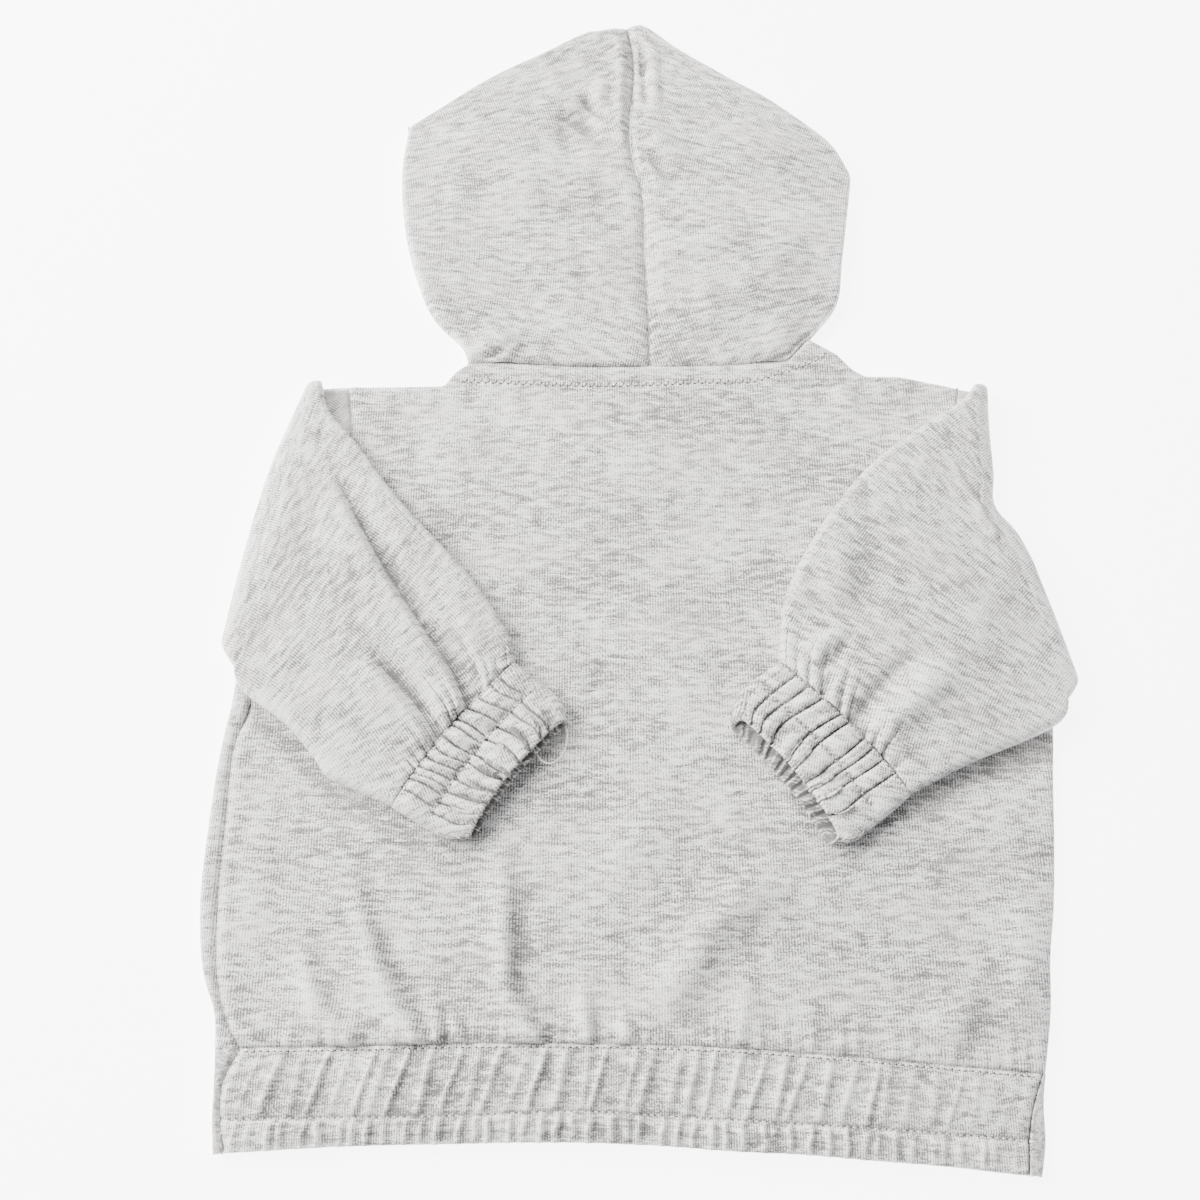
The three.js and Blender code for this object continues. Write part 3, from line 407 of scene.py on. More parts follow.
HOOD_FOLDS = {
    LEFT: [
        fold(((-9.5, 262), (-8.8, 240), (-9.6, 215), (-9.4, 196), (-6, 182), (-6.5, 160)),
             0.8, 2.8, 3.2, 0.15, 0.4),
        fold(((-26, 226), (-27, 208), (-21, 196), (-10, 189)), -1.0, 5, 5, 0.4, 0.2),
        fold(((-18, 236), (-20, 218), (-17, 204)), 0.9, 4, 4, 0.4, 0.4),
        fold(((-31, 224), (-24, 214), (-16, 205)), -1.3, 3.2, 1.8, 0.4, 0.3),
        fold(((-46, 216), (-34, 206), (-20, 196)), -0.9, 5, 3, 0.4, 0.3),
        fold(((-40, 214), (-36, 194), (-30, 176)), -0.9, 8, 8, 0.4, 0.4),
        fold(((-79, 71.5), (-70, 72.5), (-62, 76), (-55, 84)), -0.6, 0.9, 0.9, 0.1, 0.6),
        fold(((-82, 77), (-70, 77), (-60, 82), (-52, 92)), 0.7, 7, 3.6, 0.25, 0.6),
        fold(((-84, 92), (-70, 84), (-58, 73)), 0.8, 5, 5, 0.4, 0.1),
        fold(((-62, 190), (-60, 160), (-48, 130)), 1.0, 14, 14, 0.4, 0.5),
        fold(((-96, 190), (-90, 160), (-88, 132)), 0.8, 9, 12, 0.4, 0.4),
        fold(((-70, 120), (-52, 104), (-34, 96)), -0.8, 9, 8, 0.4, 0.4),
        fold(((-30, 150), (-20, 128), (-14, 104)), 0.7, 10, 9, 0.4, 0.4),
    ],
    RIGHT: [
        fold(((0.5, 257), (1.6, 240), (2.4, 222), (2.8, 206)), -1.6, 2.6, 1.7, 0.2, 0.5),
        fold(((6, 258), (7.5, 240), (8, 220), (7, 204)), 0.8, 2.2, 7, 0.3, 0.5),
        fold(((1, 189), (10, 178), (20, 170), (34, 166)), -1.4, 4.6, 3.0, 0.35, 0.6),
        fold(((3, 198), (14, 187), (32, 178)), 1.1, 7, 4, 0.2, 0.6),
        fold(((1, 181), (8, 170), (16, 163)), 1.0, 2.5, 4, 0.2, 0.6),
        fold(((4, 160), (14, 150), (28, 146)), -0.7, 5, 5, 0.2, 0.6),
        fold(((4, 140), (18, 132), (36, 134), (54, 146)), 0.9, 7, 7, 0.3, 0.4),
        fold(((58, 71.5), (66, 73.5), (70, 78), (76, 84)), -0.35, 0.9, 0.8, 0.35, 0.2),
        fold(((50, 76), (61, 79), (66, 85), (73, 93)), 0.45, 8, 4.2, 0.4, 0.4),
        fold(((46, 100), (60, 124), (84, 158)), 0.9, 12, 14, 0.4, 0.4),
        fold(((30, 214), (54, 196), (84, 176)), 0.7, 12, 12, 0.4, 0.4),
        fold(((22, 112), (30, 96), (28, 82)), 0.7, 8, 8, 0.4, 0.3),
    ],
}


# Curves and heights, worked out for whole arrays of places at once
def lerp(low, high, share):
    """The value at a share of the way from one to the other"""
    return low + (high - low) * share


def arch(share):
    """0 at both ends of a line and 1 half way"""
    return 4 * share * (1 - share)


def unit(way):
    """A direction with the length 1"""
    return way / np.linalg.norm(way)


def travel(line):
    """How far along a line each of its points lies"""
    return np.concatenate([[0], np.cumsum(np.linalg.norm(np.diff(line, axis=0), axis=1))])


def on_line(line, along, ways):
    """Places on a line at some ways along it"""
    return np.stack([np.interp(ways, along, column) for column in line.T], axis=-1)


def read(rows, key, column, at):
    """Reads a table as straight runs between its rows"""
    return np.interp(at, rows[key], rows[column])


def flow(rows, key, column, at):
    """Reads a table as a smooth curve through its rows"""
    x, y = rows[key], rows[column]
    slope = np.gradient(y, x)
    k = np.clip(np.searchsorted(x, at) - 1, 0, len(x) - 2)
    gap = x[k + 1] - x[k]
    u = np.clip((at - x[k]) / gap, 0, 1)
    near = (1 + 2 * u) * (1 - u) ** 2 * y[k] + u * (1 - u) ** 2 * gap * slope[k]
    return near + u * u * (3 - 2 * u) * y[k + 1] + u * u * (u - 1) * gap * slope[k + 1]


def spline(points, detail=12):
    """A smooth run of places through a few points"""
    p = np.array(points, float)
    full = np.vstack([2 * p[0] - p[1], p, 2 * p[-1] - p[-2]])
    u = np.linspace(0, 1, detail, endpoint=False)[:, None]
    runs = [
        0.5 * (2 * b + (c - a) * u + (2 * a - 5 * b + 4 * c - d) * u ** 2 + (3 * b - a - 3 * c + d) * u ** 3)
        for a, b, c, d in zip(full, full[1:], full[2:], full[3:])
    ]
    return np.vstack(runs + [p[-1:]])


def route(points):
    """A smooth line through points, read by its share of the length"""
    line = spline(points, 24)
    along = travel(line)
    along = along / along[-1]
    return lambda share: on_line(line, along, share)


def ease(share):
    """Goes from 0 to 1 with a soft start and end"""
    share = np.clip(share, 0, 1)
    return share * share * (3 - 2 * share)


def relief(folds, x, y):
    """Height that the folds add at each place"""
    total = np.zeros_like(x)
    for f in folds:
        line = spline(f["line"], 6)
        best = np.full(x.shape, 1e9)
        side = np.zeros_like(x)
        along = np.zeros_like(x)
        run = travel(line)
        for k, (p, q) in enumerate(zip(line, line[1:])):
            step = q - p
            length = np.linalg.norm(step)
            u = np.clip(((x - p[0]) * step[0] + (y - p[1]) * step[1]) / length ** 2, 0, 1)
            dx, dy = x - p[0] - step[0] * u, y - p[1] - step[1] * u
            off = np.hypot(dx, dy)
            nearer = off < best
            best = np.where(nearer, off, best)
            side = np.where(nearer, step[0] * dy - step[1] * dx, side)
            along = np.where(nearer, (run[k] + length * u) / run[-1], along)
        width = np.where(side > 0, f["left"], f["right"])
        shape = np.exp(-((best / width) ** 2))
        if f["start"]:
            shape = shape * ease(along / f["start"])
        if f["end"]:
            shape = shape * ease((1 - along) / f["end"])
        total += f["height"] * shape
    return total


def drift(x, y, seed, size, height):
    """Gentle swells of the laid cloth, from a few crossed waves"""
    draw = np.random.default_rng(seed)
    total = np.zeros_like(x)
    for _ in range(6):
        turn, phase = draw.uniform(0, 2 * math.pi, 2)
        wave = size * draw.uniform(0.6, 1.6)
        total += np.sin(2 * math.pi * (x * math.cos(turn) + y * math.sin(turn)) / wave + phase)
    return height * total / 6


def gathers(kind, x, rise, grow=None):
    """Height of a row of gathers at each place; rise goes from 0 at their foot to 1 at their top"""
    row = GATHERS[kind]
    draw = np.random.default_rng(row["seed"])
    total = np.zeros_like(x)
    for place in np.arange(row["first"], row["last"], row["pitch"]):
        centre = place + draw.uniform(-0.3, 0.3) * row["pitch"]
        height = draw.uniform(*row["height"])
        width = draw.uniform(*row["width"])
        lean = row["lean"] * draw.uniform(0.6, 1.3)
        wander = draw.uniform(-0.5, 0.5)
        reach = draw.uniform(0.35, 1.0)
        middle = centre + lean * (rise - 0.5) + wander * np.sin(math.pi * 2 * rise)
        ridge = np.exp(-(((x - middle) / width) ** 2))
        total += height * ridge * (grow(reach) if grow else 1)
    return total


def round_off(distance, radius):
    """How far a surface has dropped where it turns over a round edge, at a distance from the outline"""
    inside = np.clip(radius - distance, 0, radius)
    return radius - np.sqrt(np.maximum(radius ** 2 - inside ** 2, 0))


def groove(distance, depth, width):
    """Depth of a soft groove at a distance from its middle"""
    return depth * np.exp(-((distance / width) ** 2))


def shares(count, length=1.0, start_round=0.0, end_round=0.0, turns=6):
    """Places from 0 to 1, closer together where the surface turns over a round edge"""
    places = np.linspace(0, 1, count + 1)
    turn = np.sin(np.linspace(0, math.pi / 2, turns + 1))
    if start_round:
        edge = start_round / length
        places = np.concatenate([edge * (1 - turn[::-1]), places[places > edge + 0.5 / count]])
    if end_round:
        edge = 1 - end_round / length
        places = np.concatenate([places[places < edge - 0.5 / count], edge + (1 - edge) * turn])
    return places


# Meshes
def painted_crease_shade(grid):
    """Painted shade of each point of a grid, from how far it lies below others near it: 1 in a crease, a
    little below 0 on a ridge, where it paints a faint highlight
    """
    return np.clip(sag(grid, CREASE_REACH) + BROAD_SHARE * sag(grid, BROAD_REACH), CREST_LIMIT, 1)


def sag(grid, distance):
    """How far each point lies below the points at a distance from it on both sides, as a slope"""
    total = np.zeros(grid.shape[:2])
    for axis in (0, 1):
        step = np.median(np.linalg.norm(np.diff(grid, axis=axis), axis=-1))
        reach = max(1, round(distance * MM / step))
        height = np.moveaxis(grid[:, :, 2], axis, 0)
        if len(height) <= 2 * reach:
            continue
        bend = np.zeros_like(height)
        bend[reach:-reach] = (height[:-2 * reach] + height[2 * reach:]) / 2 - height[reach:-reach]
        bend = np.moveaxis(bend, 0, axis) / (reach * step)
        total = np.where(np.abs(bend) > np.abs(total), bend, total)
    return total


def weave(rows, columns, place, cloth, flip=False, into=None, shade=None):
    """A grid of cloth: place and cloth give each of its points' position and its own flat coordinates.
    Painted shade darkens its creases, and shade paints more where little light comes"""
    bm = into or bmesh.new()
    uv = bm.loops.layers.uv.get("cloth") or bm.loops.layers.uv.new("cloth")
    painted_shade_layer = bm.verts.layers.float.get("painted_shade") or bm.verts.layers.float.new("painted_shade")
    before = len(bm.verts)
    bmesh.ops.create_grid(bm, x_segments=len(columns) - 1, y_segments=len(rows) - 1, size=0.5)
    bm.verts.ensure_lookup_table()
    fresh = bm.verts[before:]
    spots = np.array([v.co[:2] for v in fresh]) + 0.5
    across = columns[np.rint(spots[:, 0] * (len(columns) - 1)).astype(int)]
    up = rows[np.rint(spots[:, 1] * (len(rows) - 1)).astype(int)]
    points = (place(across, up) + PLAN_SHIFT) * MM
    flat = cloth(across, up) * MM
    order = np.lexsort((spots[:, 0], np.rint(spots[:, 1] * (len(rows) - 1))))
    # painted shade: the colour is darkened in creases, and through shade where little light comes
    sunk = np.zeros(len(points))
    sunk[order] = painted_crease_shade(points[order].reshape(len(rows), len(columns), 3)).ravel()
    if shade:
        sunk = sunk + shade(across, up)
    bm.verts.index_update()
    for vert, point, share in zip(fresh, points, sunk):
        vert.co = point
        vert[painted_shade_layer] = share
    faces = {face for vert in fresh for face in vert.link_faces}
    for face in faces:
        for loop in face.loops:
            loop[uv].uv = flat[loop.vert.index - before]
    if flip:
        bmesh.ops.reverse_faces(bm, faces=list(faces))
    return bm


def finish_mesh(bm, name, finish, wall=0.0):
    """Makes an object of a mesh, with its finish and the thickness of its cloth"""
    bmesh.ops.remove_doubles(bm, verts=bm.verts, dist=SAME_PLACE)
    mesh = bpy.data.meshes.new(name)
    bm.to_mesh(mesh)
    bm.free()
    mesh.shade_smooth()
    mesh.materials.append(finish)
    piece = bpy.data.objects.new(name, mesh)
    bpy.context.scene.collection.objects.link(piece)
    if wall:
        solid = piece.modifiers.new("Wall", "SOLIDIFY")
        solid.thickness = wall
        solid.offset = -1.0
        solid.use_rim = True
    return piece


def dress(piece, node):
    """Puts a cloth piece in the place of its solid: hangs it under the root and hides the solid"""
    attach(piece, "root")
    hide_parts(node)


# The body
def side_edge(side, y, lower):
    """Sideways limit of a body panel: the armhole above the underarm, the side seam below it"""
    (sx, sy), (ux, uy) = SHOULDER[side], UNDERARM[side]
    along = (y - sy) / (uy - sy)
    share = np.clip(along, 0, 1)
    armhole = lerp(sx, ux, share) + side * ARMHOLE_BOW * arch(share)
    return np.where(along > 1, lower(y), armhole)


def body_plan(across, up, top, left_lower):
    """Plan of a body panel from shares across and up, with its four distances to the edges"""
    def right_lower(y):
        return flow(RIGHT_SIDE, "y", "edge", y)

    def seam(x):
        return flow(WAIST_LINES, "x", "seam", x)

    foot_left, foot_right = left_lower(LEFT_SIDE["y"][0]), right_lower(RIGHT_SIDE["y"][0])
    (lx, ly), (rx, ry) = SHOULDER[LEFT], SHOULDER[RIGHT]
    left_y = lerp(seam(foot_left), ly, up)
    right_y = lerp(seam(foot_right), ry, up)
    left, right = side_edge(LEFT, left_y, left_lower), side_edge(RIGHT, right_y, right_lower)
    x = lerp(left, right, across)
    top_x = lerp(lx, rx, across)
    foot = seam(lerp(foot_left, foot_right, across))
    head = read(TOP_LINE, "x", top, top_x)
    y = lerp(foot, head, up)
    return x, y, x - left, right - x, head - y, y - foot


def neck_share(x):
    """1 along the neck seam and 0 along the shoulders"""
    return ease((x - NECK_LEFT) / NECK_BLEND + 0.5) * ease((NECK_RIGHT - x) / NECK_BLEND + 0.5)


def back_relief(x, y):
    """Height of the back's creases and swells over its own level"""
    return BACK_RELIEF * relief(BACK_FOLDS, x, y) + drift(x, y, seed=4, size=90, height=0.7)


def back_place(across, up):
    """The back: creased, gathered at the waist, and sunk along its seams"""
    x, y, left, right, head, foot = body_plan(across, up, "back", lambda y: flow(LEFT_SIDE, "y", "seam", y))
    high = back_relief(x, y)
    high += WAIST_RELIEF * gathers("waist", x, foot / 10, lambda reach: groove(foot, 1, 4 + 9 * reach))
    z = TOP + high * (0.3 + 0.7 * ease(foot / 1.6))
    neck = neck_share(x)
    below_arm, beside_arm = ease((-60 - y) / 12), ease((y + 72) / 12)
    z -= groove(left, *SIDE_GROOVE) * below_arm + groove(left, *ARMHOLE_GROOVE) * beside_arm
    z -= groove(foot, *WAIST_GROOVE) + groove(head, *NECK_GROOVE) * neck
    z += groove(left - 3.5, *SIDE_BANK) + groove(head - 4, *NECK_BANK) * neck
    z -= round_off(right, BODY_HALF) + round_off(head, BODY_HALF) * (1 - neck)
    return np.stack([x, y, np.maximum(z, BODY_HALF)], axis=-1)


def contact_shade(across, up):
    """Painted shadow: the soft dark line on the back where it meets what lies on it"""
    x, y = back_place(across, up)[:, :2].T
    return relief(CONTACT_SHADE, x, y)


def make_back(context):
    """The back panel"""
    columns = shares(count=190, length=320, end_round=BODY_HALF)
    rows = shares(count=178, length=290, end_round=BODY_HALF)
    bm = weave(rows, columns, back_place, lambda s, t: back_place(s, t)[:, :2], shade=contact_shade)
    piece = finish_mesh(bm, "back_cloth", knit("Heathered fleece", context), context.scene.hoodie_cloth.wall)
    dress(piece, "back_panel")


def roll(share, fold_x, seam_x):
    """A strip that turns up round the left side: from the seam on top, round the fold, to the floor"""
    turn = math.pi * BODY_HALF
    flat = np.maximum(seam_x - (fold_x + BODY_HALF), 0.3)
    way = share * (flat + turn)
    on_top = way < flat
    angle = np.clip((way - flat) / BODY_HALF, 0, math.pi)
    x = np.where(on_top, seam_x - way, fold_x + BODY_HALF - BODY_HALF * np.sin(angle))
    z = np.where(on_top, TOP, BODY_HALF + BODY_HALF * np.cos(angle))
    return x, z - groove(way, *ROLL_GROOVE)


def front_flat(across, up):
    """The part of the front that lies flat on the surface"""
    x, y, _, right, head, _ = body_plan(
        across, up, "front", lambda y: flow(LEFT_SIDE, "y", "fold", y) + BODY_HALF
    )
    z = round_off(right, BODY_HALF) + round_off(head, BODY_HALF) * (1 - neck_share(x))
    return np.stack([x, y, z], axis=-1)


def front_roll(across, up):
    """The part of the front that rolls up over the back's left side"""
    y = front_flat(np.zeros_like(up), up)[:, 1]
    x, z = roll(across, flow(LEFT_SIDE, "y", "fold", y), flow(LEFT_SIDE, "y", "seam", y))
    return np.stack([x, y, z], axis=-1)


def make_front(context):
    """The front panel, flat below and rolled up at its left side"""
    below = np.linspace(0, UNDERARM_ROW, 81)
    above = UNDERARM_ROW + (1 - UNDERARM_ROW) * shares(count=50, length=130, end_round=BODY_HALF)[1:]
    rows = np.concatenate([below, above])
    columns = shares(count=96, length=320, end_round=BODY_HALF)
    bm = weave(rows, columns, front_flat, lambda s, t: front_flat(s, t)[:, :2], flip=True)

    def roll_cloth(s, t):
        y = front_roll(s, t)[:, 1]
        return np.stack([flow(LEFT_SIDE, "y", "seam", y) - ROLL_WAY * s, y], axis=-1)

    weave(below, np.linspace(0, 1, 25), front_roll, roll_cloth, flip=True, into=bm)
    piece = finish_mesh(bm, "front_cloth", knit("Heathered fleece", context), context.scene.hoodie_cloth.wall)
    dress(piece, "front_panel")


# The waistband
def band_lines(x, share):
    """Where the band lies along Y, at a share of the way from its seam to its hem"""
    seam, stitch, hem = (flow(WAIST_LINES, "x", name, x) for name in ("seam", "stitch", "hem"))
    upper = lerp(seam, stitch, share / STITCH_SHARE)
    lower = lerp(stitch, hem, (share - STITCH_SHARE) / (1 - STITCH_SHARE))
    return np.where(share < STITCH_SHARE, upper, lower)


def band_back_place(across, up):
    """The back band: two strips of gathers either side of its stitch row, and a folded hem"""
    way = (1 - up) * BAND_WAY  # along the cloth from the seam, past the hem and back up inside
    share = np.clip(way / BAND_DEPTH, 0, 1)
    ends = [flow(BAND_ENDS, "share", name, share) for name in ("leftSeam", "rightBack")]
    x = lerp(ends[0], ends[1], across)
    calm = ease(np.minimum(x - ends[0], ends[1] - x) / 20)
    right_calm = 0.45 + 0.55 * ease((ends[1] - x) / 120)
    upper = np.clip(share / STITCH_SHARE, 0, 1)
    lower = np.clip((share - STITCH_SHARE) / (1 - STITCH_SHARE), 0, 1)
    strip = np.where(share < STITCH_SHARE, np.sin(math.pi * upper), np.sin(math.pi * np.minimum(lower, 0.93)))
    pinch = 0.2 + 0.8 * np.sqrt(np.clip(strip, 0, 1))
    upper_ridges = gathers("band_upper", x, 1 - upper)
    lower_ridges = LOWER_BAND_RELIEF * gathers("band_lower", x, 1 - lower)
    ridges = np.where(share < STITCH_SHARE, upper_ridges, lower_ridges)
    z = TOP + 0.8 * strip * calm + BAND_RELIEF * ridges * pinch * (0.35 + 0.65 * calm) * right_calm
    to_stitch = (share - STITCH_SHARE) * BAND_DEPTH
    z -= groove(share * BAND_DEPTH, *BAND_SEAM_GROOVE) + groove(to_stitch, *BAND_STITCH_GROOVE)
    z -= round_off(ends[1] - x, BAND_END_ROUND) + groove(x - ends[0], *SIDE_GROOVE)
    past = np.clip((way - BAND_DEPTH) / LIP, 0, math.pi)
    inside = np.maximum(way - BAND_DEPTH - math.pi * LIP, 0)
    y = band_lines(x, share) - 0.06 * ridges * ease((share - 0.85) / 0.15)
    y = y + LIP * (ease((share - 0.7) / 0.3) - np.sin(past)) + inside
    z = z - LIP * (1 - np.cos(past))
    return np.stack([x, y, z], axis=-1)


def make_band_back(context):
    """The gathered back of the waistband"""
    hem = BAND_DEPTH + np.linspace(0, math.pi * LIP, 9)[1:]
    rows = np.sort(1 - np.concatenate([np.linspace(0, BAND_DEPTH, 47), hem, [BAND_WAY]]) / BAND_WAY)
    columns = np.linspace(0, 1, 421)
    gathering = 1.2  # how much longer the cloth is than the band

    def cloth(s, t):
        spot = band_back_place(s, t)
        return np.stack([spot[:, 0] * gathering, -(1 - t) * BAND_WAY], axis=-1)

    bm = weave(rows, columns, band_back_place, cloth)
    wall = context.scene.hoodie_cloth.band_wall
    piece = finish_mesh(bm, "waistband_back_cloth", knit("Heathered band", context), wall)
    dress(piece, "waistband_back")


def band_front_place(across, up):
    """The front band, flat on the surface, with its left end rolled up and its right end curled over"""
    share = 1 - up
    ends = ("fold", "leftSeam", "rightFront")
    fold_x, seam_x, right = (flow(BAND_ENDS, "share", name, share) for name in ends)
    rolled = FRONT_BAND_ROLL
    x, z = roll(np.clip(across / rolled, 0, 1), fold_x, seam_x)
    flat = np.clip((across - rolled) / (1 - 2 * rolled), 0, 1)
    back_end = flow(BAND_ENDS, "share", "rightBack", share)
    radius = np.minimum(BODY_HALF, right - back_end - 0.2)
    x = np.where(across > rolled, lerp(fold_x + BODY_HALF, right - radius, flat), x)
    z = np.where(across > rolled, round_off((1 - share) * BAND_DEPTH, BAND_FOOT_ROUND), z)
    turn = np.clip((across - 1 + rolled) / rolled, 0, 1) * FRONT_BAND_TURN
    curled = across > 1 - rolled
    angle = np.minimum(turn, 1) * math.pi
    lap = np.maximum(turn - 1, 0) / (FRONT_BAND_TURN - 1)
    turned_x = right - radius + radius * np.sin(angle) - lap * (right - radius - back_end - 0.05)
    x = np.where(curled, turned_x, x)
    z = np.where(curled, BODY_HALF - (BODY_HALF - 0.2) * np.cos(angle), z)
    y = band_lines(np.where(across > rolled, x, fold_x), share) + 0.25 * np.sin(x * 1.1)
    return np.stack([x, y, z], axis=-1)


def make_band_front(context):
    """The front of the waistband"""
    rows = shares(count=20, length=BAND_DEPTH, start_round=BAND_FOOT_ROUND, turns=4)
    marks = (0, FRONT_BAND_ROLL, 1 - FRONT_BAND_ROLL, 1)
    runs = [np.linspace(a, b, n) for a, b, n in zip(marks, marks[1:], (19, 150, 21))]
    columns = np.concatenate([runs[0], runs[1][1:], runs[2][1:]])
    cloth_length = 400.0

    def cloth(s, t):
        spot = band_front_place(s, t)
        return np.stack([s * cloth_length, spot[:, 1]], axis=-1)

    bm = weave(rows, columns, band_front_place, cloth, flip=True)
    wall = context.scene.hoodie_cloth.wall
    piece = finish_mesh(bm, "waistband_front_cloth", knit("Heathered band", context), wall)
    dress(piece, "waistband_front")


# Sleeves and cuffs: flattened tubes, ring by ring
def ring(spots, a, b, normal, half, bow, lift, under, inward, overhang=0.0, flat_from=None, flat_way=None):
    """Points of one ring and their places on the unrolled cloth. Its chord runs from a to b, and its first
    flat lies on the side that its normal points to; two round ends and the other flat follow."""
    a, b, normal = np.array(a, float), np.array(b, float), np.array(normal, float)
    chord = b - a
    length = np.linalg.norm(chord)
    chord = chord / length
    forward = np.cross(normal, chord) * inward
    first = spots < RING_TOP
    second = ~first & (spots < RING_TOP + RING_TURN)
    third = ~first & ~second & (spots < RING_TOP + RING_TURN + RING_UNDER)
    share = np.where(first, spots / RING_TOP, 0.0)
    share = np.where(third, 1 - (spots - RING_TOP - RING_TURN) / RING_UNDER, share)
    angle = np.where(second, math.pi / 2 - math.pi * (spots - RING_TOP) / RING_TURN, 0.0)
    fourth = ~first & ~second & ~third
    last = RING_TOP + RING_TURN + RING_UNDER
    angle = np.where(fourth, -math.pi / 2 + math.pi * (spots - last) / (1 - last), angle)
    level = first | third
    along = np.where(level, lerp(half, length - half, share), 0.0)
    along = np.where(second, length - half + half * np.cos(angle), along)
    along = np.where(fourth, half - half * np.cos(angle), along)
    off = np.where(first, half, np.where(third, -half, half * np.sin(angle)))
    calm = np.where(level, np.sqrt(np.sin(math.pi * np.clip(share, 0.0001, 0.9999))), 0.0)
    part = np.clip(along / length, 0, 1)
    points = a + chord * along[:, None]
    points[:, 0] += inward * bow(part)
    points -= forward * (overhang * 0.5 * off / half)[:, None]
    raised = np.where(first, lift(points[:, 0], points[:, 1], part), under(points[:, 0], points[:, 1], part))
    points = points + normal * (off + np.where(level, raised * calm, 0.0))[:, None]
    flat = length - 2 * half
    way = np.where(first, half + share * flat, 0.0)
    way = np.where(second, half + flat + half * (math.pi / 2 - angle), way)
    way = np.where(third, half + flat + math.pi * half + (1 - share) * flat, way)
    way = np.where(fourth, half - half * (math.pi / 2 - angle), way)
    start = a[:2] if flat_from is None else np.array(flat_from, float)
    run = chord[:2] if flat_way is None else flat_way
    unrolled = start + run * way[:, None]
    unrolled[:, 0] += inward * np.where(first, bow(part), 0.0)
    return points, unrolled


def still(x, y, share):
    """A flat that isn't raised anywhere"""
    return np.zeros_like(x)


def arc_cloth(side, plan):
    """The knit's upright lines on a sleeve run in wide arcs from the fold to the cuff"""
    from_centre = plan - KNIT_CENTRE[side]
    radius = np.linalg.norm(from_centre, axis=-1)
    turned = np.arctan2(from_centre[..., 0] * side, from_centre[..., 1])
    return np.stack([radius, turned * KNIT_REACH], axis=-1)


def sleeve_rings(side, spots):
    """All rings of a sleeve, from the armhole over the fold to the cuff seam"""
    places, cloths = [], []
    up = np.array([0.0, 0.0, 1.0])
    line = {key: np.array(value, float) for key, value in FOLD_LINE[side].items()}
    (sx, sy), (ux, uy) = SHOULDER[side], UNDERARM[side]
    outward = unit(np.array([line["b"][1] - line["a"][1], line["a"][0] - line["b"][0], 0.0]) * side)
    fold_way = unit(line["b"] - line["a"])
    fold_half = SLEEVE_HALF["half"][0]

    def fold_bow(share):
        return flow(FOLD_BOW[side], "along", "bow", share)

    def armhole(share):
        return ARMHOLE_BOW * arch(share)

    def add(points, unrolled):
        places.append(points)
        cloths.append(arc_cloth(side, unrolled))

    turns = []
    for degrees in np.linspace(0, 180, 17):
        angle = math.radians(degrees)
        half = lerp(BODY_HALF, fold_half, degrees / 180)
        normal = outward * math.sin(angle) - up * math.cos(angle)
        over = np.clip(degrees / 90 - 1, 0, 1)
        low = max(line["b"][1], uy)
        end = (lerp(line["b"][0], line["top"][0], over),
               lerp(lerp(low, line["b"][1], min(degrees / 90, 1)), line["top"][1], over))
        shift = np.array([0, 0, FOLD_AXIS]) + normal * (half + FOLD_SLACK)
        a, b = np.array([*line["a"], 0.0]) + shift, np.array([*end, 0.0]) + shift
        arc = (math.pi - angle) * (2 * half + FOLD_SLACK)
        turned = line["a"] + outward[:2] * arc
        turns.append(
            ring(spots, a, b, normal, half, fold_bow, still, still, side, flat_from=turned, flat_way=fold_way)
        )
    first = ring(
        spots, (sx, sy, BODY_HALF), (ux, uy, BODY_HALF), -up, BODY_HALF, armhole, still, still, side,
        flat_from=np.array([sx, sy]) + outward[:2] * (math.pi * 8 + SEAM_TO_FOLD), flat_way=fold_way,
    )
    for share in np.linspace(0, 1, 9)[:-1]:
        points = lerp(first[0], turns[0][0], share)
        sunk = groove(share * SEAM_TO_FOLD, *SLEEVE_GROOVE) * 0.6 / BODY_HALF
        points[:, 2] -= (points[:, 2] - BODY_HALF) * sunk
        add(points, lerp(first[1], turns[0][1], share))
    for points, unrolled in turns:
        add(points, unrolled)
    upper, lower = route(UPPER_EDGE[side]), route(LOWER_EDGE[side])
    for share in np.concatenate([[0.004, 0.01], np.linspace(0.02, 1, 92)]):
        half = float(flow(SLEEVE_HALF, "share", "half", np.array(share)))
        fade = np.clip(1 - share / FOLD_BOW_FADE, 0, 1)
        top, low = upper(share), lower(share)

        def bow(along, fade=fade, share=share):
            return fold_bow(along) * fade + CUFF_SEAM_BOW * share * share * arch(along)

        def lift(x, y, part, share=share):
            near = (1 - share) * SLEEVE_LENGTH
            pull = cuff_puckers(side, part, near)
            swell = drift(x, y, seed=20 + side, size=60, height=0.45) * ease(share / 0.2)
            creases = SLEEVE_RELIEF * relief(SLEEVE_FOLDS[side], x, y) * ease(near / 3 + 0.35)
            high = np.clip(creases + pull + swell + puff(part, share), *SLEEVE_RANGE)
            return high * ease(share / 0.04) - groove(near, *SLEEVE_END_GROOVE)

        height = SLEEVE_REST + half
        add(*ring(spots, (*top, height), (*low, height), up, half, bow, lift, still, side))
    return np.array(places), np.array(cloths)


def puff(part, share):
    """The sleeve's own fullness, highest along its middle"""
    return SLEEVE_PUFF * np.sin(math.pi * np.clip(part, 0, 1)) * np.sin(math.pi * min(share * 1.1, 1))


def cuff_puckers(side, part, near):
    """Small folds that run up the sleeve from its gathered seam"""
    pleats = CUFF_PLEATS[side]
    edges = pleat_edges(side, "upper")
    k = np.clip(np.searchsorted(edges, part) - 1, 0, len(edges) - 2)
    u = (part - edges[k]) / (edges[k + 1] - edges[k])
    draw = np.random.default_rng(pleats["seed"] + 40)
    height = draw.uniform(2.6, 5.2, len(edges))[k]
    reach = draw.uniform(6, 18, len(edges))[k]
    dome = np.sqrt(np.sin(math.pi * np.clip(u, 0.001, 0.999)))
    return (dome - 0.55) * height * np.exp(-((near / reach) ** 2))


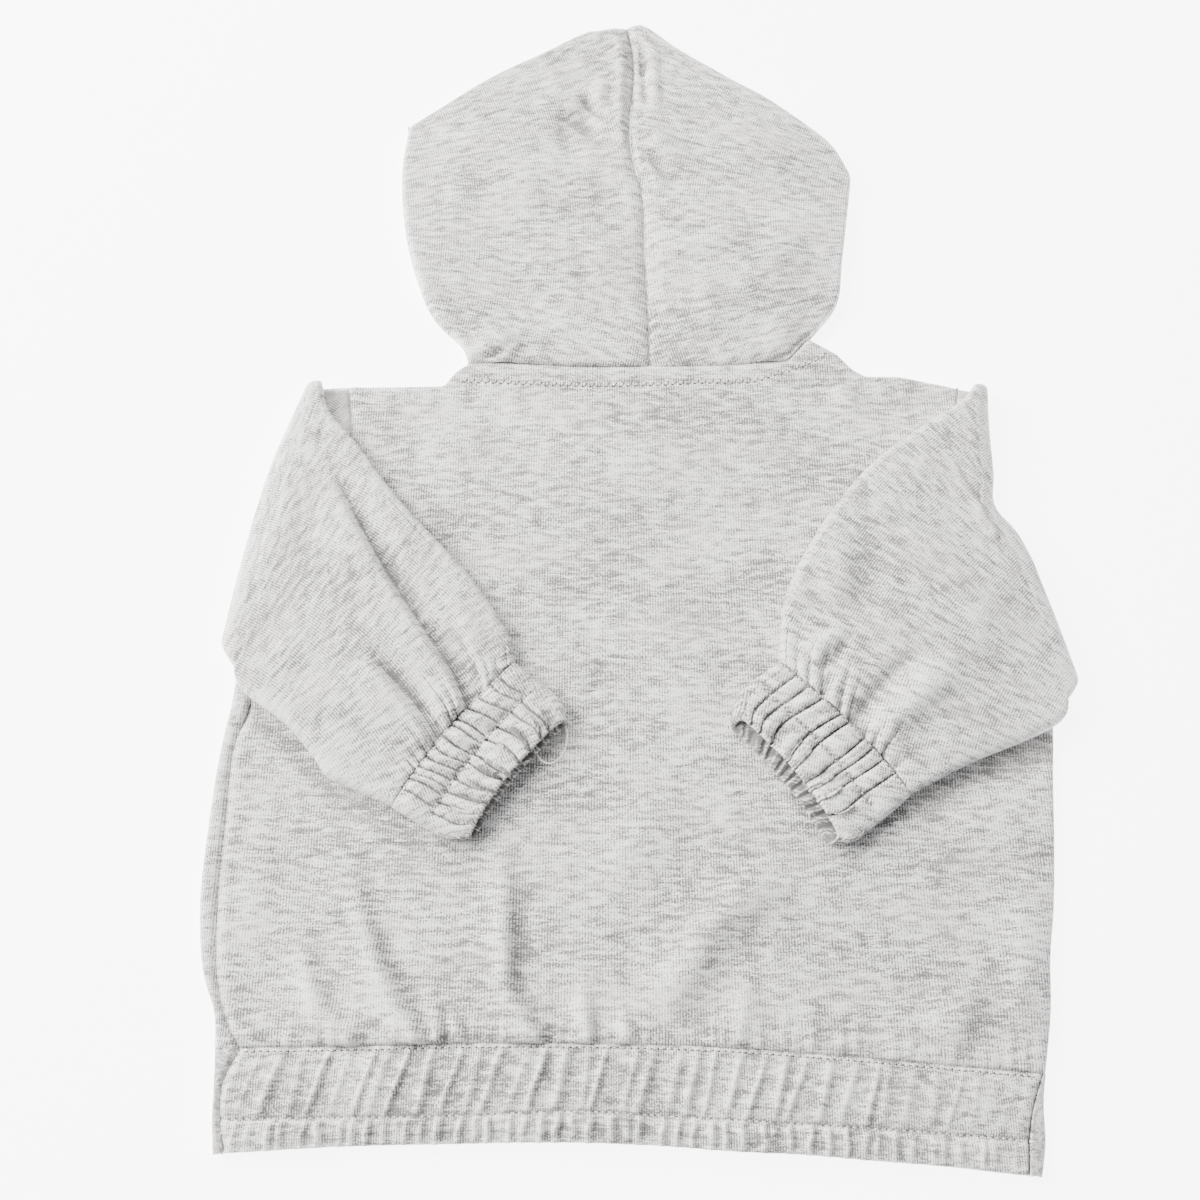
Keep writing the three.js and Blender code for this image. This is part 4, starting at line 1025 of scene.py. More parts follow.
def pleat_edges(side, strip):
    """Places across a cuff where the narrow troughs between its gathers lie"""
    pleats = CUFF_PLEATS[side]
    strip = "upper" if strip == "lower" and pleats["through"] else strip
    count = pleats[strip]
    draw = np.random.default_rng(pleats["seed"] + len(strip) * 7)
    steps = 1 + draw.uniform(-0.42, 0.42, count)
    steps[[0, -1]] *= 1.7
    return np.concatenate([[0], np.cumsum(steps) / np.sum(steps)])


def pillow(side, strip, part, along):
    """Height of the puffed gathers in one strip of a cuff, with sharp troughs between them"""
    pleats = CUFF_PLEATS[side]
    edges = pleat_edges(side, strip)
    draw = np.random.default_rng(pleats["seed"] + len(strip) * 11)
    bend = 0.007 * np.sin(2 * math.pi * (part * 2.3 + along * 0.8)) + 0.02 * (along - 0.5)
    spot = np.clip(part + bend, 0, 0.99999)
    k = np.clip(np.searchsorted(edges, spot) - 1, 0, len(edges) - 2)
    u = np.clip((spot - edges[k]) / (edges[k + 1] - edges[k]), 0, 1)
    size = (edges[k + 1] - edges[k]) * (len(edges) - 1)
    height = draw.uniform(0.65, 1.1, len(edges))[k] * np.sqrt(size)
    second = draw.uniform(-0.35, 0.35, len(edges))[k]
    dome = np.sin(math.pi * np.clip(u, 0.001, 0.999)) ** 0.4
    to_trough = np.minimum(u, 1 - u) * (edges[k + 1] - edges[k]) * CUFF_WIDTH
    swell = dome * (1 + second * np.sin(2 * math.pi * u + 3 * along)) - 0.5
    return pleats["height"] * height * swell - height * groove(to_trough, TROUGH_DEPTH, TROUGH_HALF)


def cuff_ring(side, spots, at):
    """One ring of a cuff at a share of the way from its seam to its mouth"""
    rows = CUFF_RINGS[side]
    ax, ay, bx, by, half, overhang = (
        float(flow(rows, "at", name, np.array(at))) for name in ("ax", "ay", "bx", "by", "half", "overhang")
    )
    corner = CUFF_CORNER * (1 - math.sqrt(1 - float(np.clip((at - 0.72) / 0.3, 0, 1)) ** 2))
    length = math.hypot(bx - ax, by - ay)
    ax, bx = ax + (bx - ax) * corner / length, bx - (bx - ax) * corner / length
    ay, by = ay + (by - ay) * corner / length, by - (by - ay) * corner / length
    upper = at < CUFF_STITCH
    local = at / CUFF_STITCH if upper else (at - CUFF_STITCH) / (1 - CUFF_STITCH)
    strip = math.sin(math.pi * local) if upper else math.sin(math.pi * min(local, 0.62))
    pinch = 0.35 + 0.65 * math.sqrt(max(strip, 0.0))
    sunk = groove(at * CUFF_LENGTH, *CUFF_SEAM_GROOVE)
    sunk += groove((at - CUFF_STITCH) * CUFF_LENGTH, *CUFF_STITCH_GROOVE)

    def lift(x, y, part):
        along = at if CUFF_PLEATS[side]["through"] else local
        return pillow(side, "upper" if upper else "lower", part, along) * pinch + 0.4 * strip - sunk

    def under(x, y, part):
        return pillow(side, "under", part, at) * (0.3 + 0.45 * at) * CUFF_PLEATS[side]["below"]

    height = SLEEVE_REST + CUFF_LIFT + half
    return ring(
        spots, (ax, ay, height), (bx, by, height), (0, 0, 1), half,
        lambda share: CUFF_SEAM_BOW * arch(share), lift, under, side, overhang,
    )


def cuff_rings(side, spots):
    """All rings of a cuff: down the outside, over the folded mouth and back up the inside"""
    shares_down = np.concatenate([np.linspace(0, CUFF_STITCH, 19), np.linspace(CUFF_STITCH, 1, 25)[1:]])
    places, cloths = [], []
    rows = CUFF_RINGS[side]
    start, end = (
        np.array([rows["ax"][k] + rows["bx"][k], rows["ay"][k] + rows["by"][k]]) / 2 for k in (0, -1)
    )
    forward = np.append(unit(end - start), 0.0)
    depth = np.linalg.norm(end - start)
    for at in shares_down:
        points, unrolled = cuff_ring(side, spots, at)
        places.append(points)
        cloths.append(arc_cloth(side, unrolled))
    mouth = places[-1]
    chord = unit(np.array([rows["bx"][-1] - rows["ax"][-1], rows["by"][-1] - rows["ay"][-1], 0.0]))
    from_centre = mouth - mouth.mean(axis=0)
    sideways = from_centre @ chord
    reach = np.abs(sideways).max() - CUFF_SIDE
    flat_side = np.clip(np.abs(sideways) - reach, 0, None) / CUFF_SIDE
    inward_way = -np.sign(sideways)[:, None] * chord * flat_side[:, None]
    inward_way[:, 2] -= np.sign(from_centre[:, 2]) * np.sqrt(np.clip(1 - flat_side ** 2, 0, 1))
    inward_way /= np.linalg.norm(inward_way, axis=1)[:, None]
    mouth_cloth = cloths[-1]
    for angle in np.linspace(0, math.pi, 9)[1:]:
        curl = mouth + forward * LIP * math.sin(angle) + inward_way * LIP * (1 - math.cos(angle))
        places.append(curl)
        cloths.append(mouth_cloth + np.array([0.0, angle * LIP]))
    for back in CUFF_INSIDE:
        outer, _ = cuff_ring(side, spots, 1 - back / depth)
        places.append(outer + inward_way * LIP * 2)
        cloths.append(mouth_cloth + np.array([0.0, math.pi * LIP + back]))
    return np.array(places), np.array(cloths), len(shares_down)


def tube(places, cloths, spots, flip, shade=None):
    """A tube of cloth from its rings' points"""
    rows = np.arange(len(places), dtype=float)
    columns = np.arange(len(spots), dtype=float)

    def pick(grid):
        return lambda s, t: grid[t.astype(int), s.astype(int)]

    return weave(rows, columns, pick(places), pick(cloths), flip=flip, shade=shade)


def ring_spots(top, turn, under):
    """Places round a ring, with the given numbers of steps on its parts"""
    marks = (0, RING_TOP, RING_TOP + RING_TURN, RING_TOP + RING_TURN + RING_UNDER, 1)
    counts = (top, turn, under, turn)
    runs = [np.linspace(a, b, n, endpoint=False) for a, b, n in zip(marks, marks[1:], counts)]
    return np.concatenate(runs + [[1.0]])


def make_sleeve(context, side):
    """One sleeve, folded over the back"""
    name = SIDE_NAMES[side]
    spots = ring_spots(top=104, turn=8, under=40)
    places, cloths = sleeve_rings(side, spots)
    bm = tube(places, cloths, spots, side == RIGHT)
    wall = context.scene.hoodie_cloth.wall
    piece = finish_mesh(bm, f"sleeve_{name}_cloth", knit("Heathered sleeve", context), wall)
    dress(piece, f"sleeve_{name}")


def make_cuff(context, side):
    """One gathered cuff, folded in at its mouth"""
    name = SIDE_NAMES[side]
    spots = ring_spots(**CUFF_STEPS)
    places, cloths, outside = cuff_rings(side, spots)
    dark_from = outside + 2

    # painted shade inside the cuff's mouth, where little light gets in
    def mouth_shade(s, t):
        return MOUTH_SHADE * ease((t - dark_from) / 4)

    bm = tube(places, cloths, spots, side == RIGHT, shade=mouth_shade)
    wall = context.scene.hoodie_cloth.band_wall
    piece = finish_mesh(bm, f"cuff_{name}_cloth", knit("Heathered cuff", context), wall)
    dress(piece, f"cuff_{name}")


# The hood
def hood_plan(side, s, t, column):
    """Plan of a hood panel's layer, blended from its four edges"""
    neck_end = NECK_LEFT if side == LEFT else NECK_RIGHT
    side_fold, roof_fold = route(SIDE_FOLD[side]), route(ROOF_FOLD[side])

    def seam(up):
        y = lerp(HOOD_FOOT, CROWN[1], up)
        return np.stack([flow(CENTRE_SEAM, "y", "x", y) - side * 0.05, y], axis=-1)

    def neck(across):
        x = lerp(NECK_CENTRE, neck_end, across)
        return np.stack([x, read(TOP_LINE, "x", column, x) - HOOD_LAP * (1 - across)], axis=-1)

    zero, one = np.zeros_like(s), np.ones_like(s)
    start, end = neck(zero), neck(one)
    rim = lerp(seam(t), np.where((t == 0)[:, None], end, side_fold(t)), s[:, None])
    roof = lerp(roof_fold(zero), roof_fold(one), s[:, None])
    foot = lerp(start, end, s[:, None])
    drop = lerp(neck(s) - foot, roof_fold(s) - roof, t[:, None])
    return rim + drop + ((1 - t) * (1 - s))[:, None] * (start - seam(zero))


def hood_place(side, column, facing):
    """The upper layer of a hood panel, facing 1, or its under layer, facing -1"""
    side_fold, roof_fold = route(SIDE_FOLD[side]), route(ROOF_FOLD[side])

    def outward(curve, share, turn):
        run = curve(np.minimum(share + 0.02, 1)) - curve(np.maximum(share - 0.02, 0))
        way = np.stack([run[:, 1], -run[:, 0]], axis=-1)
        return turn * way / np.linalg.norm(way, axis=-1)[:, None]

    def place(s, t):
        """The panel's flat plan, rounded at its two folds and raised by its creases"""
        at = hood_plan(side, s, t, column)
        sideways, roofward = outward(side_fold, t, -side), outward(roof_fold, s, side)
        zero, one = np.zeros_like(s), np.ones_like(s)
        wide = hood_plan(side, one, t, column) - hood_plan(side, zero, t, column)
        high = hood_plan(side, s, one, column) - hood_plan(side, s, zero, column)
        width = np.abs(np.sum(wide * sideways, -1))
        height = np.abs(np.sum(high * roofward, -1))
        u = 1 - np.clip((1 - s) * width / HOOD_HALF, 0, 1)
        v = 1 - np.clip((1 - t) * height / HOOD_HALF, 0, 1)
        rise = np.sqrt(np.maximum(0, 1 - np.minimum(np.hypot(u, v), 1) ** 2))
        x, y = at[:, 0], at[:, 1]
        z = HOOD_HALF + facing * HOOD_HALF * rise
        if facing > 0:
            from_seam = np.abs(x - flow(CENTRE_SEAM, "y", "x", y))
            from_neck = y - read(TOP_LINE, "x", "back", x)
            lift = HOOD_RELIEF * relief(HOOD_FOLDS[side], x, y) + drift(x, y, 30 + side, size=70, height=1.1)
            lift += 0.8 + 1.6 * ease(from_neck / 30) * ease(from_seam / 8) + hood_puckers(side, y, from_seam)
            z = z + rise * (lift - groove(from_seam, *CENTRE_GROOVE) - groove(from_neck, *HOOD_FOOT_GROOVE))
        return np.stack([x, y, np.maximum(z, 0)], axis=-1)

    return place


def hood_puckers(side, y, from_seam):
    """Small wrinkles across the turned seam allowance beside the centre seam"""
    draw = np.random.default_rng(60 + side)
    total = np.zeros_like(y)
    high_from, higher = HIGH_PUCKERS
    for centre in np.arange(PUCKER_ROW["first"], PUCKER_ROW["last"], PUCKER_ROW["pitch"]):
        place = centre + draw.uniform(-1.6, 1.6)
        height = draw.uniform(*PUCKER_ROW["height"]) * (higher if place > high_from else 1.0)
        width = draw.uniform(*PUCKER_ROW["width"])
        tilt = draw.uniform(*PUCKER_ROW["tilt"])
        total += groove(y - place - tilt * from_seam, height, width)
    puckers = HOOD_PUCKERS[side]
    return total * groove(from_seam - 3, puckers["strength"], puckers["reach"])


def make_hood(context, side):
    """One hood panel: its upper layer, and an under layer that is open at the face"""
    name = SIDE_NAMES[side]
    columns = shares(count=78, length=100, end_round=HOOD_HALF)
    rows = shares(count=132, length=185, end_round=HOOD_HALF)

    def under(s, t):
        opened = read(FACE_OPENING, "up", "share", t)
        place = hood_place(side, "front", -1)(lerp(opened, 1, s), t)
        rim = hood_place(side, "back", 1)(s, t)
        edge = (s >= 1) | (t >= 1)
        return np.where(edge[:, None], rim, place)

    def cloth(place):
        return lambda s, t: hood_cloth(side, place(s, t)[:, :2])

    top = hood_place(side, "back", 1)
    bm = weave(rows, columns, top, cloth(top), flip=side == LEFT)
    weave(rows, columns, under, cloth(under), flip=side == RIGHT, into=bm)
    wall = context.scene.hoodie_cloth.wall
    piece = finish_mesh(bm, f"hood_{name}_cloth", knit("Heathered hood", context), wall)
    dress(piece, f"hood_{name}")


def hood_cloth(side, plan):
    """The knit's courses on a hood panel spread like a fan towards its open side"""
    away = plan - HOOD_KNIT[side]
    radius = np.linalg.norm(away, axis=-1)
    turned = np.arctan2(away[:, 1], away[:, 0] * side)
    return np.stack([radius, turned * HOOD_REACH[side]], axis=-1)


# Sewing
def rods(name, runs, radius, finish, sides=6):
    """Threads: each run is a list of points that one small rod follows"""
    bm = bmesh.new()
    for run in runs:
        run = (np.array(run) + PLAN_SHIFT) * MM
        before = len(bm.verts)
        bmesh.ops.create_circle(bm, segments=sides, radius=1.0, cap_ends=True)
        bm.verts.ensure_lookup_table()
        loop = bm.verts[before:]
        cap = next(face for face in loop[0].link_faces)
        angles = [math.atan2(v.co.y, v.co.x) for v in loop]
        for k, (point, run_way) in enumerate(zip(run, np.gradient(run, axis=0))):
            run_way = unit(run_way)
            across = np.cross(run_way, (0.0, 0.0, 1.0))
            across = across / (np.linalg.norm(across) or 1.0)
            upward = np.cross(across, run_way)
            taper = END_TAPER if k in (0, len(run) - 1) else 1.0
            if k:
                grown = bmesh.ops.extrude_face_region(bm, geom=[cap])
                if k > 1:
                    bmesh.ops.delete(bm, geom=[cap], context="FACES_ONLY")
                fresh = [v for v in grown["geom"] if isinstance(v, bmesh.types.BMVert)]
                cap = next(f for f in grown["geom"] if isinstance(f, bmesh.types.BMFace))
                loop = order_like(loop, fresh)
            for vert, angle in zip(loop, angles):
                ring_way = across * math.cos(angle) + upward * math.sin(angle)
                vert.co = point + ring_way * radius * MM * taper
    bmesh.ops.recalc_face_normals(bm, faces=bm.faces)
    piece = finish_mesh(bm, name, finish)
    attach(piece, "root")


def order_like(loop, fresh):
    """The new loop's points in the order of the old loop's, each joined to its own by an edge"""
    made = set(fresh)
    return [next(e.other_vert(v) for e in v.link_edges if e.other_vert(v) in made) for v in loop]


def stitch_runs(line, pitch, sink=0.35, rise=0.2, share=0.66):
    """Stitches of a sewn row that follows a line of points"""
    along = travel(line)
    runs = []
    for k in range(int(along[-1] / pitch)):
        spots = on_line(line, along, (k + 0.5 + np.linspace(-0.5, 0.5, 5) * share) * pitch)
        spots[:, 2] += np.array([-sink, rise * 0.7, rise, rise * 0.7, -sink])
        runs.append(spots)
    return runs


def hole_runs(line, pitch):
    """The needle holes between the stitches of a row, as small dark rods of painted shade"""
    along = travel(line)
    spread_out = np.linspace(-0.5, 0.5, 3) * HOLE_LENGTH["row"]
    marks = range(1, int(along[-1] / pitch))
    return [on_line(line, along, k * pitch + spread_out) + (0, 0, 0.08) for k in marks]


def sew_rows(name, lines, pitch, thread_radius, hole_radius, context):
    """Rows of stitches with the painted shade of their needle holes, on a band or a cuff"""
    holes = sum((hole_runs(line, pitch) for line in lines), [])
    runs = sum((stitch_runs(line, pitch) for line in lines), [])
    # the needle holes are dark rods of painted shade
    rods(f"{name}_needle_hole_shade", holes, hole_radius, plain("Needle hole", DARK, 0.95))
    rods(f"{name}_stitches", runs, thread_radius, thread("Sewing thread", context))


def make_waist_stitches(context):
    """The two rows of the waistband"""
    s = np.linspace(0.004, 0.996, 600)
    lines = [band_back_place(s, np.full_like(s, 1 - share * BAND_DEPTH / BAND_WAY)) for share in WAIST_ROWS]
    sew_rows("waistband", lines, WAIST_PITCH, WAIST_THREAD, WAIST_HOLE, context)


def make_cuff_stitches(context, side):
    """The two rows of a cuff"""
    spots = ring_spots(**CUFF_STEPS)
    spots = spots[spots <= RING_TOP]
    lines = [cuff_ring(side, spots, at)[0] for at in CUFF_ROWS]
    sew_rows(f"cuff_{SIDE_NAMES[side]}", lines, CUFF_PITCH, CUFF_THREAD, CUFF_HOLE, context)


def make_neck_stitches(context):
    """The zigzag of the cover stitch below the neck seam"""
    line = spline(NECK_ROW, 30)
    along = travel(line)
    across_hole = np.linspace(-0.5, 0.5, 3) * HOLE_LENGTH["neck"]
    runs, holes = [], []
    for k in range(int(along[-1] / NECK_PITCH)):
        turn = 1 if k % 2 else -1
        x, y = on_line(line, along, np.linspace(k + 0.08, k + 0.92, 5) * NECK_PITCH).T
        y = y + np.linspace(-turn, turn, 5) * NECK_SWAY
        back = TOP + back_relief(x, y)
        runs.append(np.stack([x, y, back + np.array([-0.3, 0.15, 0.25, 0.15, -0.3])], axis=-1))
        # needle holes: small dark rods of painted shade
        holes.append([(x[-1] + off, y[-1], back[-1] + 0.05) for off in across_hole])
    rods("neck_needle_hole_shade", holes, NECK_HOLE, plain("Needle hole", DARK, 0.95))
    rods("neck_stitches", runs, NECK_THREAD, thread("Sewing thread", context))


def make_loose_ends(context):
    """The dark fibre on the back and the thread end at the left cuff"""
    height = TOP + back_relief(FIBRE[:, 0], FIBRE[:, 1]) + 0.3
    fibre = np.column_stack([FIBRE, height])
    rods("stray_fibre", [fibre], FIBRE_RADIUS, plain("Dark fibre", DARK, 0.8))
    loose = spline(THREAD_END, 5)
    rods("cuff_loose_thread", [loose], LOOSE_THREAD, thread("Pale thread", context), sides=8)


# Finishes
class Reading:
    """A socket on a surface, so that its sums can be written as expressions"""

    def __init__(self, finish, socket):
        self.finish = finish
        self.socket = socket

    def _math(self, operation, *values):
        return self.finish.node("ShaderNodeMath", {"operation": operation}, dict(enumerate(values)))

    def __add__(self, other):
        return self._math("ADD", self, other)

    __radd__ = __add__

    def __sub__(self, other):
        return self._math("SUBTRACT", self, other)

    def __rsub__(self, other):
        return self._math("SUBTRACT", other, self)

    def __mul__(self, other):
        return self._math("MULTIPLY", self, other)

    __rmul__ = __mul__

    def __truediv__(self, other):
        return self._math("DIVIDE", self, other)

    def __rtruediv__(self, other):
        return self._math("DIVIDE", other, self)

    def cos(self):
        return self._math("COSINE", self)

    def clamp(self):
        return self.finish.node("ShaderNodeClamp", inputs={0: self})

    def other(self, output):
        """Another output of the same node"""
        return Reading(self.finish, self.socket.node.outputs[output])


class Finish:
    """A material whose nodes all come from one method"""

    def __init__(self, name):
        self.material = bpy.data.materials.new(name)
        self.material.use_nodes = True
        self.tree = self.material.node_tree
        self.shader = self.tree.nodes["Principled BSDF"]

    def node(self, kind, settings=None, inputs=None, output=0):
        """A new node with its settings, and the values or links of its sockets"""
        node = self.tree.nodes.new(kind)
        for name, value in (settings or {}).items():
            setattr(node, name, value)
        for key, value in (inputs or {}).items():
            self.feed(node.inputs[key], value)
        return Reading(self, node.outputs[output])

    def feed(self, socket, value):
        """Links a socket to a reading, or sets its value"""
        if isinstance(value, Reading):
            self.tree.links.new(value.socket, socket)
        else:
            socket.default_value = value

    def noise(self, u, v, seed, detail=2.0, roughness=0.55):
        """Soft noise over two values, another for each seed"""
        vector = self.node("ShaderNodeCombineXYZ", inputs={0: u, 1: v, 2: seed})
        return self.node(
            "ShaderNodeTexNoise", {"noise_dimensions": "3D"},
            {"Vector": vector, "Scale": 1.0, "Detail": detail, "Roughness": roughness}, "Fac",
        )

    def mix(self, share, first, second):
        """A colour between two others"""
        return self.node("ShaderNodeMix", {"data_type": "RGBA"}, {0: share, 6: first, 7: second}, 2)


def spread(value, low, high):
    """Stretches the part of a value between two limits to run from 0 to 1"""
    return ((value - low) / (high - low)).clamp()


def knit(name, context):
    """Heathered fleece knit: pale and grey-beige streaks along the courses, fine upright lines, soft fuzz"""
    if name in bpy.data.materials:
        return bpy.data.materials[name]
    cloth, colours = context.scene.hoodie_cloth, context.scene.hoodie_colours
    f = Finish(name)
    flat = f.node("ShaderNodeUVMap", {"uv_map": "cloth"})
    u = f.node("ShaderNodeSeparateXYZ", inputs={0: flat})
    v = u.other(1)
    length, width = cloth.streak_length, cloth.streak_width
    course = v + f.noise(u * 45, v * 45, 3.1) * 0.0022
    mottle = f.noise(u / (length * 1.4), course / (width * 3), 1.0, 1.0)
    grain = f.noise(u / cloth.grain, v / (cloth.grain * 0.7), 5.0, 1.0)
    dark = spread(f.noise(u / length, course / width, 9.0, 0.0), 0.60, 0.78)
    light = spread(f.noise(u / length, course / width, 13.0, 0.0), 0.60, 0.78)
    patch = f.noise(u * 24, v * 36, 17.0, 1.0)
    drawn = f.noise(u * 90, v * 60, 2.0)
    # painted shade from the mesh: darker in creases, along the sleeves' edges on the back and inside the
    # cuffs
    painted_shade = f.node("ShaderNodeAttribute", {"attribute_name": "painted_shade"}, output="Fac")
    wale = (u * (2 * math.pi / cloth.wale_pitch) + drawn * 1.5).cos() * 0.5 + 0.5
    pale = 0.94 + (mottle - 0.5) * 2.4 + (grain - 0.5) * 3.0 + (patch - 0.5) * 1.1
    pale = pale + light * 0.7 - dark * 0.3
    pale = (pale - (1 - wale) * cloth.wale_shade - painted_shade * cloth.crease_shade).clamp()
    colour = f.mix(pale, (*colours.streak, 1), (*colours.ground, 1))
    warm = spread(f.noise(u * 30, v * 60, 14.0), 0.45, 0.75) * 0.25
    colour = f.mix(warm, colour, (*colours.warm, 1))
    fleck = spread(f.noise(u / 0.0016, v / 0.0007, 21.0, 0.0), 0.77, 0.86) * 0.6
    colour = f.mix(fleck, colour, (*colours.fleck, 1))
    fuzz = f.noise(u * 900, v * 900, 11.0, 3.0, 0.7)
    height = wale * 0.5 + fuzz * 0.7 + grain * 0.6 - dark * 0.3
    bump = f.node("ShaderNodeBump", inputs={"Strength": 0.6, "Distance": cloth.nap, "Height": height})
    f.feed(f.shader.inputs["Base Color"], colour)
    f.feed(f.shader.inputs["Normal"], bump)
    f.shader.inputs["Roughness"].default_value = 0.95
    f.shader.inputs["Specular IOR Level"].default_value = 0.2
    f.shader.inputs["Sheen Weight"].default_value = 0.25
    f.shader.inputs["Sheen Roughness"].default_value = 0.6
    return f.material


def thread(name, context):
    """Sewing thread, a little paler than the cloth, with a twist"""
    if name in bpy.data.materials:
        return bpy.data.materials[name]
    colours = context.scene.hoodie_colours
    f = Finish(name)
    spots = f.node("ShaderNodeTexCoord", output="Object")
    twist = {"Vector": spots, "Scale": 900.0, "Detail": 1.0}
    shade = f.node("ShaderNodeTexNoise", inputs=twist, output="Fac")
    colour = f.mix(spread(shade, 0.3, 0.7), (*colours.thread_shade, 1), (*colours.thread, 1))
    f.feed(f.shader.inputs["Base Color"], colour)
    f.shader.inputs["Roughness"].default_value = 0.7
    return f.material


def plain(name, colour, roughness):
    """One colour all over"""
    f = Finish(name)
    f.shader.inputs["Base Color"].default_value = (*colour, 1)
    f.shader.inputs["Roughness"].default_value = roughness
    return f.material


# Studio
def make_stage(context):
    """The floor, the camera, the lights and the room"""
    studio = context.scene.hoodie_studio
    bm = bmesh.new()
    bmesh.ops.create_grid(bm, x_segments=2, y_segments=2, size=studio.floor_half)
    bmesh.ops.translate(bm, verts=bm.verts, vec=(0, 0, -FLOOR_DROP))
    paint = plain("Pale floor", studio.floor_colour, 0.9)
    paint.node_tree.nodes["Principled BSDF"].inputs["Emission Strength"].default_value = studio.floor_glow
    floor = finish_mesh(bm, "pale_floor", paint)
    camera = bpy.data.cameras.new("Photo camera")
    camera.lens, camera.sensor_width = studio.lens, 36.0
    camera.clip_start = 0.01
    view = bpy.data.objects.new("Photo camera", camera)
    view.location = studio.camera_place
    view.rotation_euler = (studio.camera_tilt, 0, 0)
    context.scene.collection.objects.link(view)
    context.scene.camera = view
    powers = (studio.key_power, studio.top_power, studio.fill_power)
    for (name, place, size), power in zip(LAMPS, powers):
        lamp = bpy.data.lights.new(name, "AREA")
        lamp.size, lamp.energy = size, power
        lamp.color = LAMP_COLOUR
        light = bpy.data.objects.new(name, lamp)
        light.location = place
        way = -np.array(place)
        light.rotation_euler = (
            math.atan2(math.hypot(way[0], way[1]), -way[2]), 0, math.atan2(way[1], way[0]) - math.pi / 2,
        )
        context.scene.collection.objects.link(light)
    world = bpy.data.worlds.new("Soft room")
    world.use_nodes = True
    world.node_tree.nodes["Background"].inputs["Color"].default_value = (*ROOM_COLOUR, 1)
    world.node_tree.nodes["Background"].inputs["Strength"].default_value = studio.room_light
    context.scene.world = world


# What a user would change
class HoodieCloth(bpy.types.PropertyGroup):
    """Thickness, knit and heather of the cloth"""

    wall: FloatProperty(
        name="Cloth thickness", description="Thickness of one layer of fleece",
        default=0.0024, unit="LENGTH",
    )
    band_wall: FloatProperty(
        name="Band cloth thickness", description="Thickness of one layer of a folded band",
        default=0.0007, unit="LENGTH",
    )
    wale_pitch: FloatProperty(
        name="Knit pitch", description="Distance between the knit's upright lines",
        default=0.00112, unit="LENGTH",
    )
    wale_shade: FloatProperty(
        name="Knit shade", description="How dark the lines between the ribs are",
        default=0.8, subtype="FACTOR",
    )
    # painted shade: how much darker the colour is made down in a crease
    crease_shade: FloatProperty(
        name="Crease shade", description="How much darker the nap is down in a crease",
        default=0.75, subtype="FACTOR",
    )
    streak_length: FloatProperty(
        name="Streak length", description="Length of a heather streak",
        default=0.006, unit="LENGTH",
    )
    streak_width: FloatProperty(
        name="Streak width", description="Width of a heather streak",
        default=0.0008, unit="LENGTH",
    )
    grain: FloatProperty(
        name="Grain", description="Size of the mottling's grain",
        default=0.0009, unit="LENGTH",
    )
    nap: FloatProperty(
        name="Nap", description="Height of the knit's ribs and fuzz",
        default=0.00035, unit="LENGTH",
    )


class HoodieColours(bpy.types.PropertyGroup):
    """Colours of the cloth and the thread"""

    ground: FloatVectorProperty(
        name="Ground", description="Pale ground of the heather",
        default=(0.95, 0.938, 0.922), subtype="COLOR",
    )
    streak: FloatVectorProperty(
        name="Streak", description="Grey-beige streaks of the heather",
        default=(0.17, 0.165, 0.158), subtype="COLOR",
    )
    warm: FloatVectorProperty(
        name="Warm tone", description="Faintly rosy patches",
        default=(0.66, 0.61, 0.585), subtype="COLOR",
    )
    fleck: FloatVectorProperty(
        name="Fleck", description="Small dark fibres",
        default=(0.2, 0.18, 0.17), subtype="COLOR",
    )
    thread: FloatVectorProperty(
        name="Thread", description="Sewing thread",
        default=(0.84, 0.82, 0.8), subtype="COLOR",
    )
    thread_shade: FloatVectorProperty(
        name="Thread shade", description="Darker side of the thread's twist",
        default=(0.5, 0.48, 0.46), subtype="COLOR",
    )


class HoodieStudio(bpy.types.PropertyGroup):
    """Camera, floor and lights"""

    lens: FloatProperty(
        name="Lens", description="Focal length on a 36 mm frame",
        default=36.0, unit="CAMERA",
    )
    camera_place: FloatVectorProperty(
        name="Camera place", description="Where the camera stands",
        default=(-0.01965, -0.22041, 0.485), subtype="TRANSLATION",
    )
    camera_tilt: FloatProperty(
        name="Camera tilt", description="How far the camera leans from straight down",
        default=math.radians(20), unit="ROTATION",
    )
    floor_half: FloatProperty(
        name="Floor", description="Half the width of the pale floor",
        default=3.0, unit="LENGTH",
    )
    floor_colour: FloatVectorProperty(
        name="Floor colour", description="Colour of the floor",
        default=(0.9, 0.9, 0.9), subtype="COLOR",
    )
    floor_glow: FloatProperty(name="Floor glow", description="Light of the white floor itself", default=6.0)
    key_power: FloatProperty(
        name="Window power", description="Power of the main light",
        default=100.0, unit="POWER",
    )
    top_power: FloatProperty(
        name="Top power", description="Power of the light above the hood",
        default=44.0, unit="POWER",
    )
    fill_power: FloatProperty(
        name="Fill power", description="Power of the fill light",
        default=3.0, unit="POWER",
    )
    room_light: FloatProperty(
        name="Room light", description="Strength of the light from all round",
        default=0.36,
    )


# One operator for each piece or pair of pieces
class HOODIE_OT_stage(bpy.types.Operator):
    """Adds the floor, the lights and the camera"""

    bl_idname = "hoodie.stage"
    bl_label = "Stage"

    def execute(self, context):
        make_stage(context)
        return {"FINISHED"}


class HOODIE_OT_front(bpy.types.Operator):
    """Makes the front panel with its rolled left side"""

    bl_idname = "hoodie.front"
    bl_label = "Front"

    def execute(self, context):
        make_front(context)
        return {"FINISHED"}


class HOODIE_OT_back(bpy.types.Operator):
    """Makes the back panel"""

    bl_idname = "hoodie.back"
    bl_label = "Back"

    def execute(self, context):
        make_back(context)
        return {"FINISHED"}


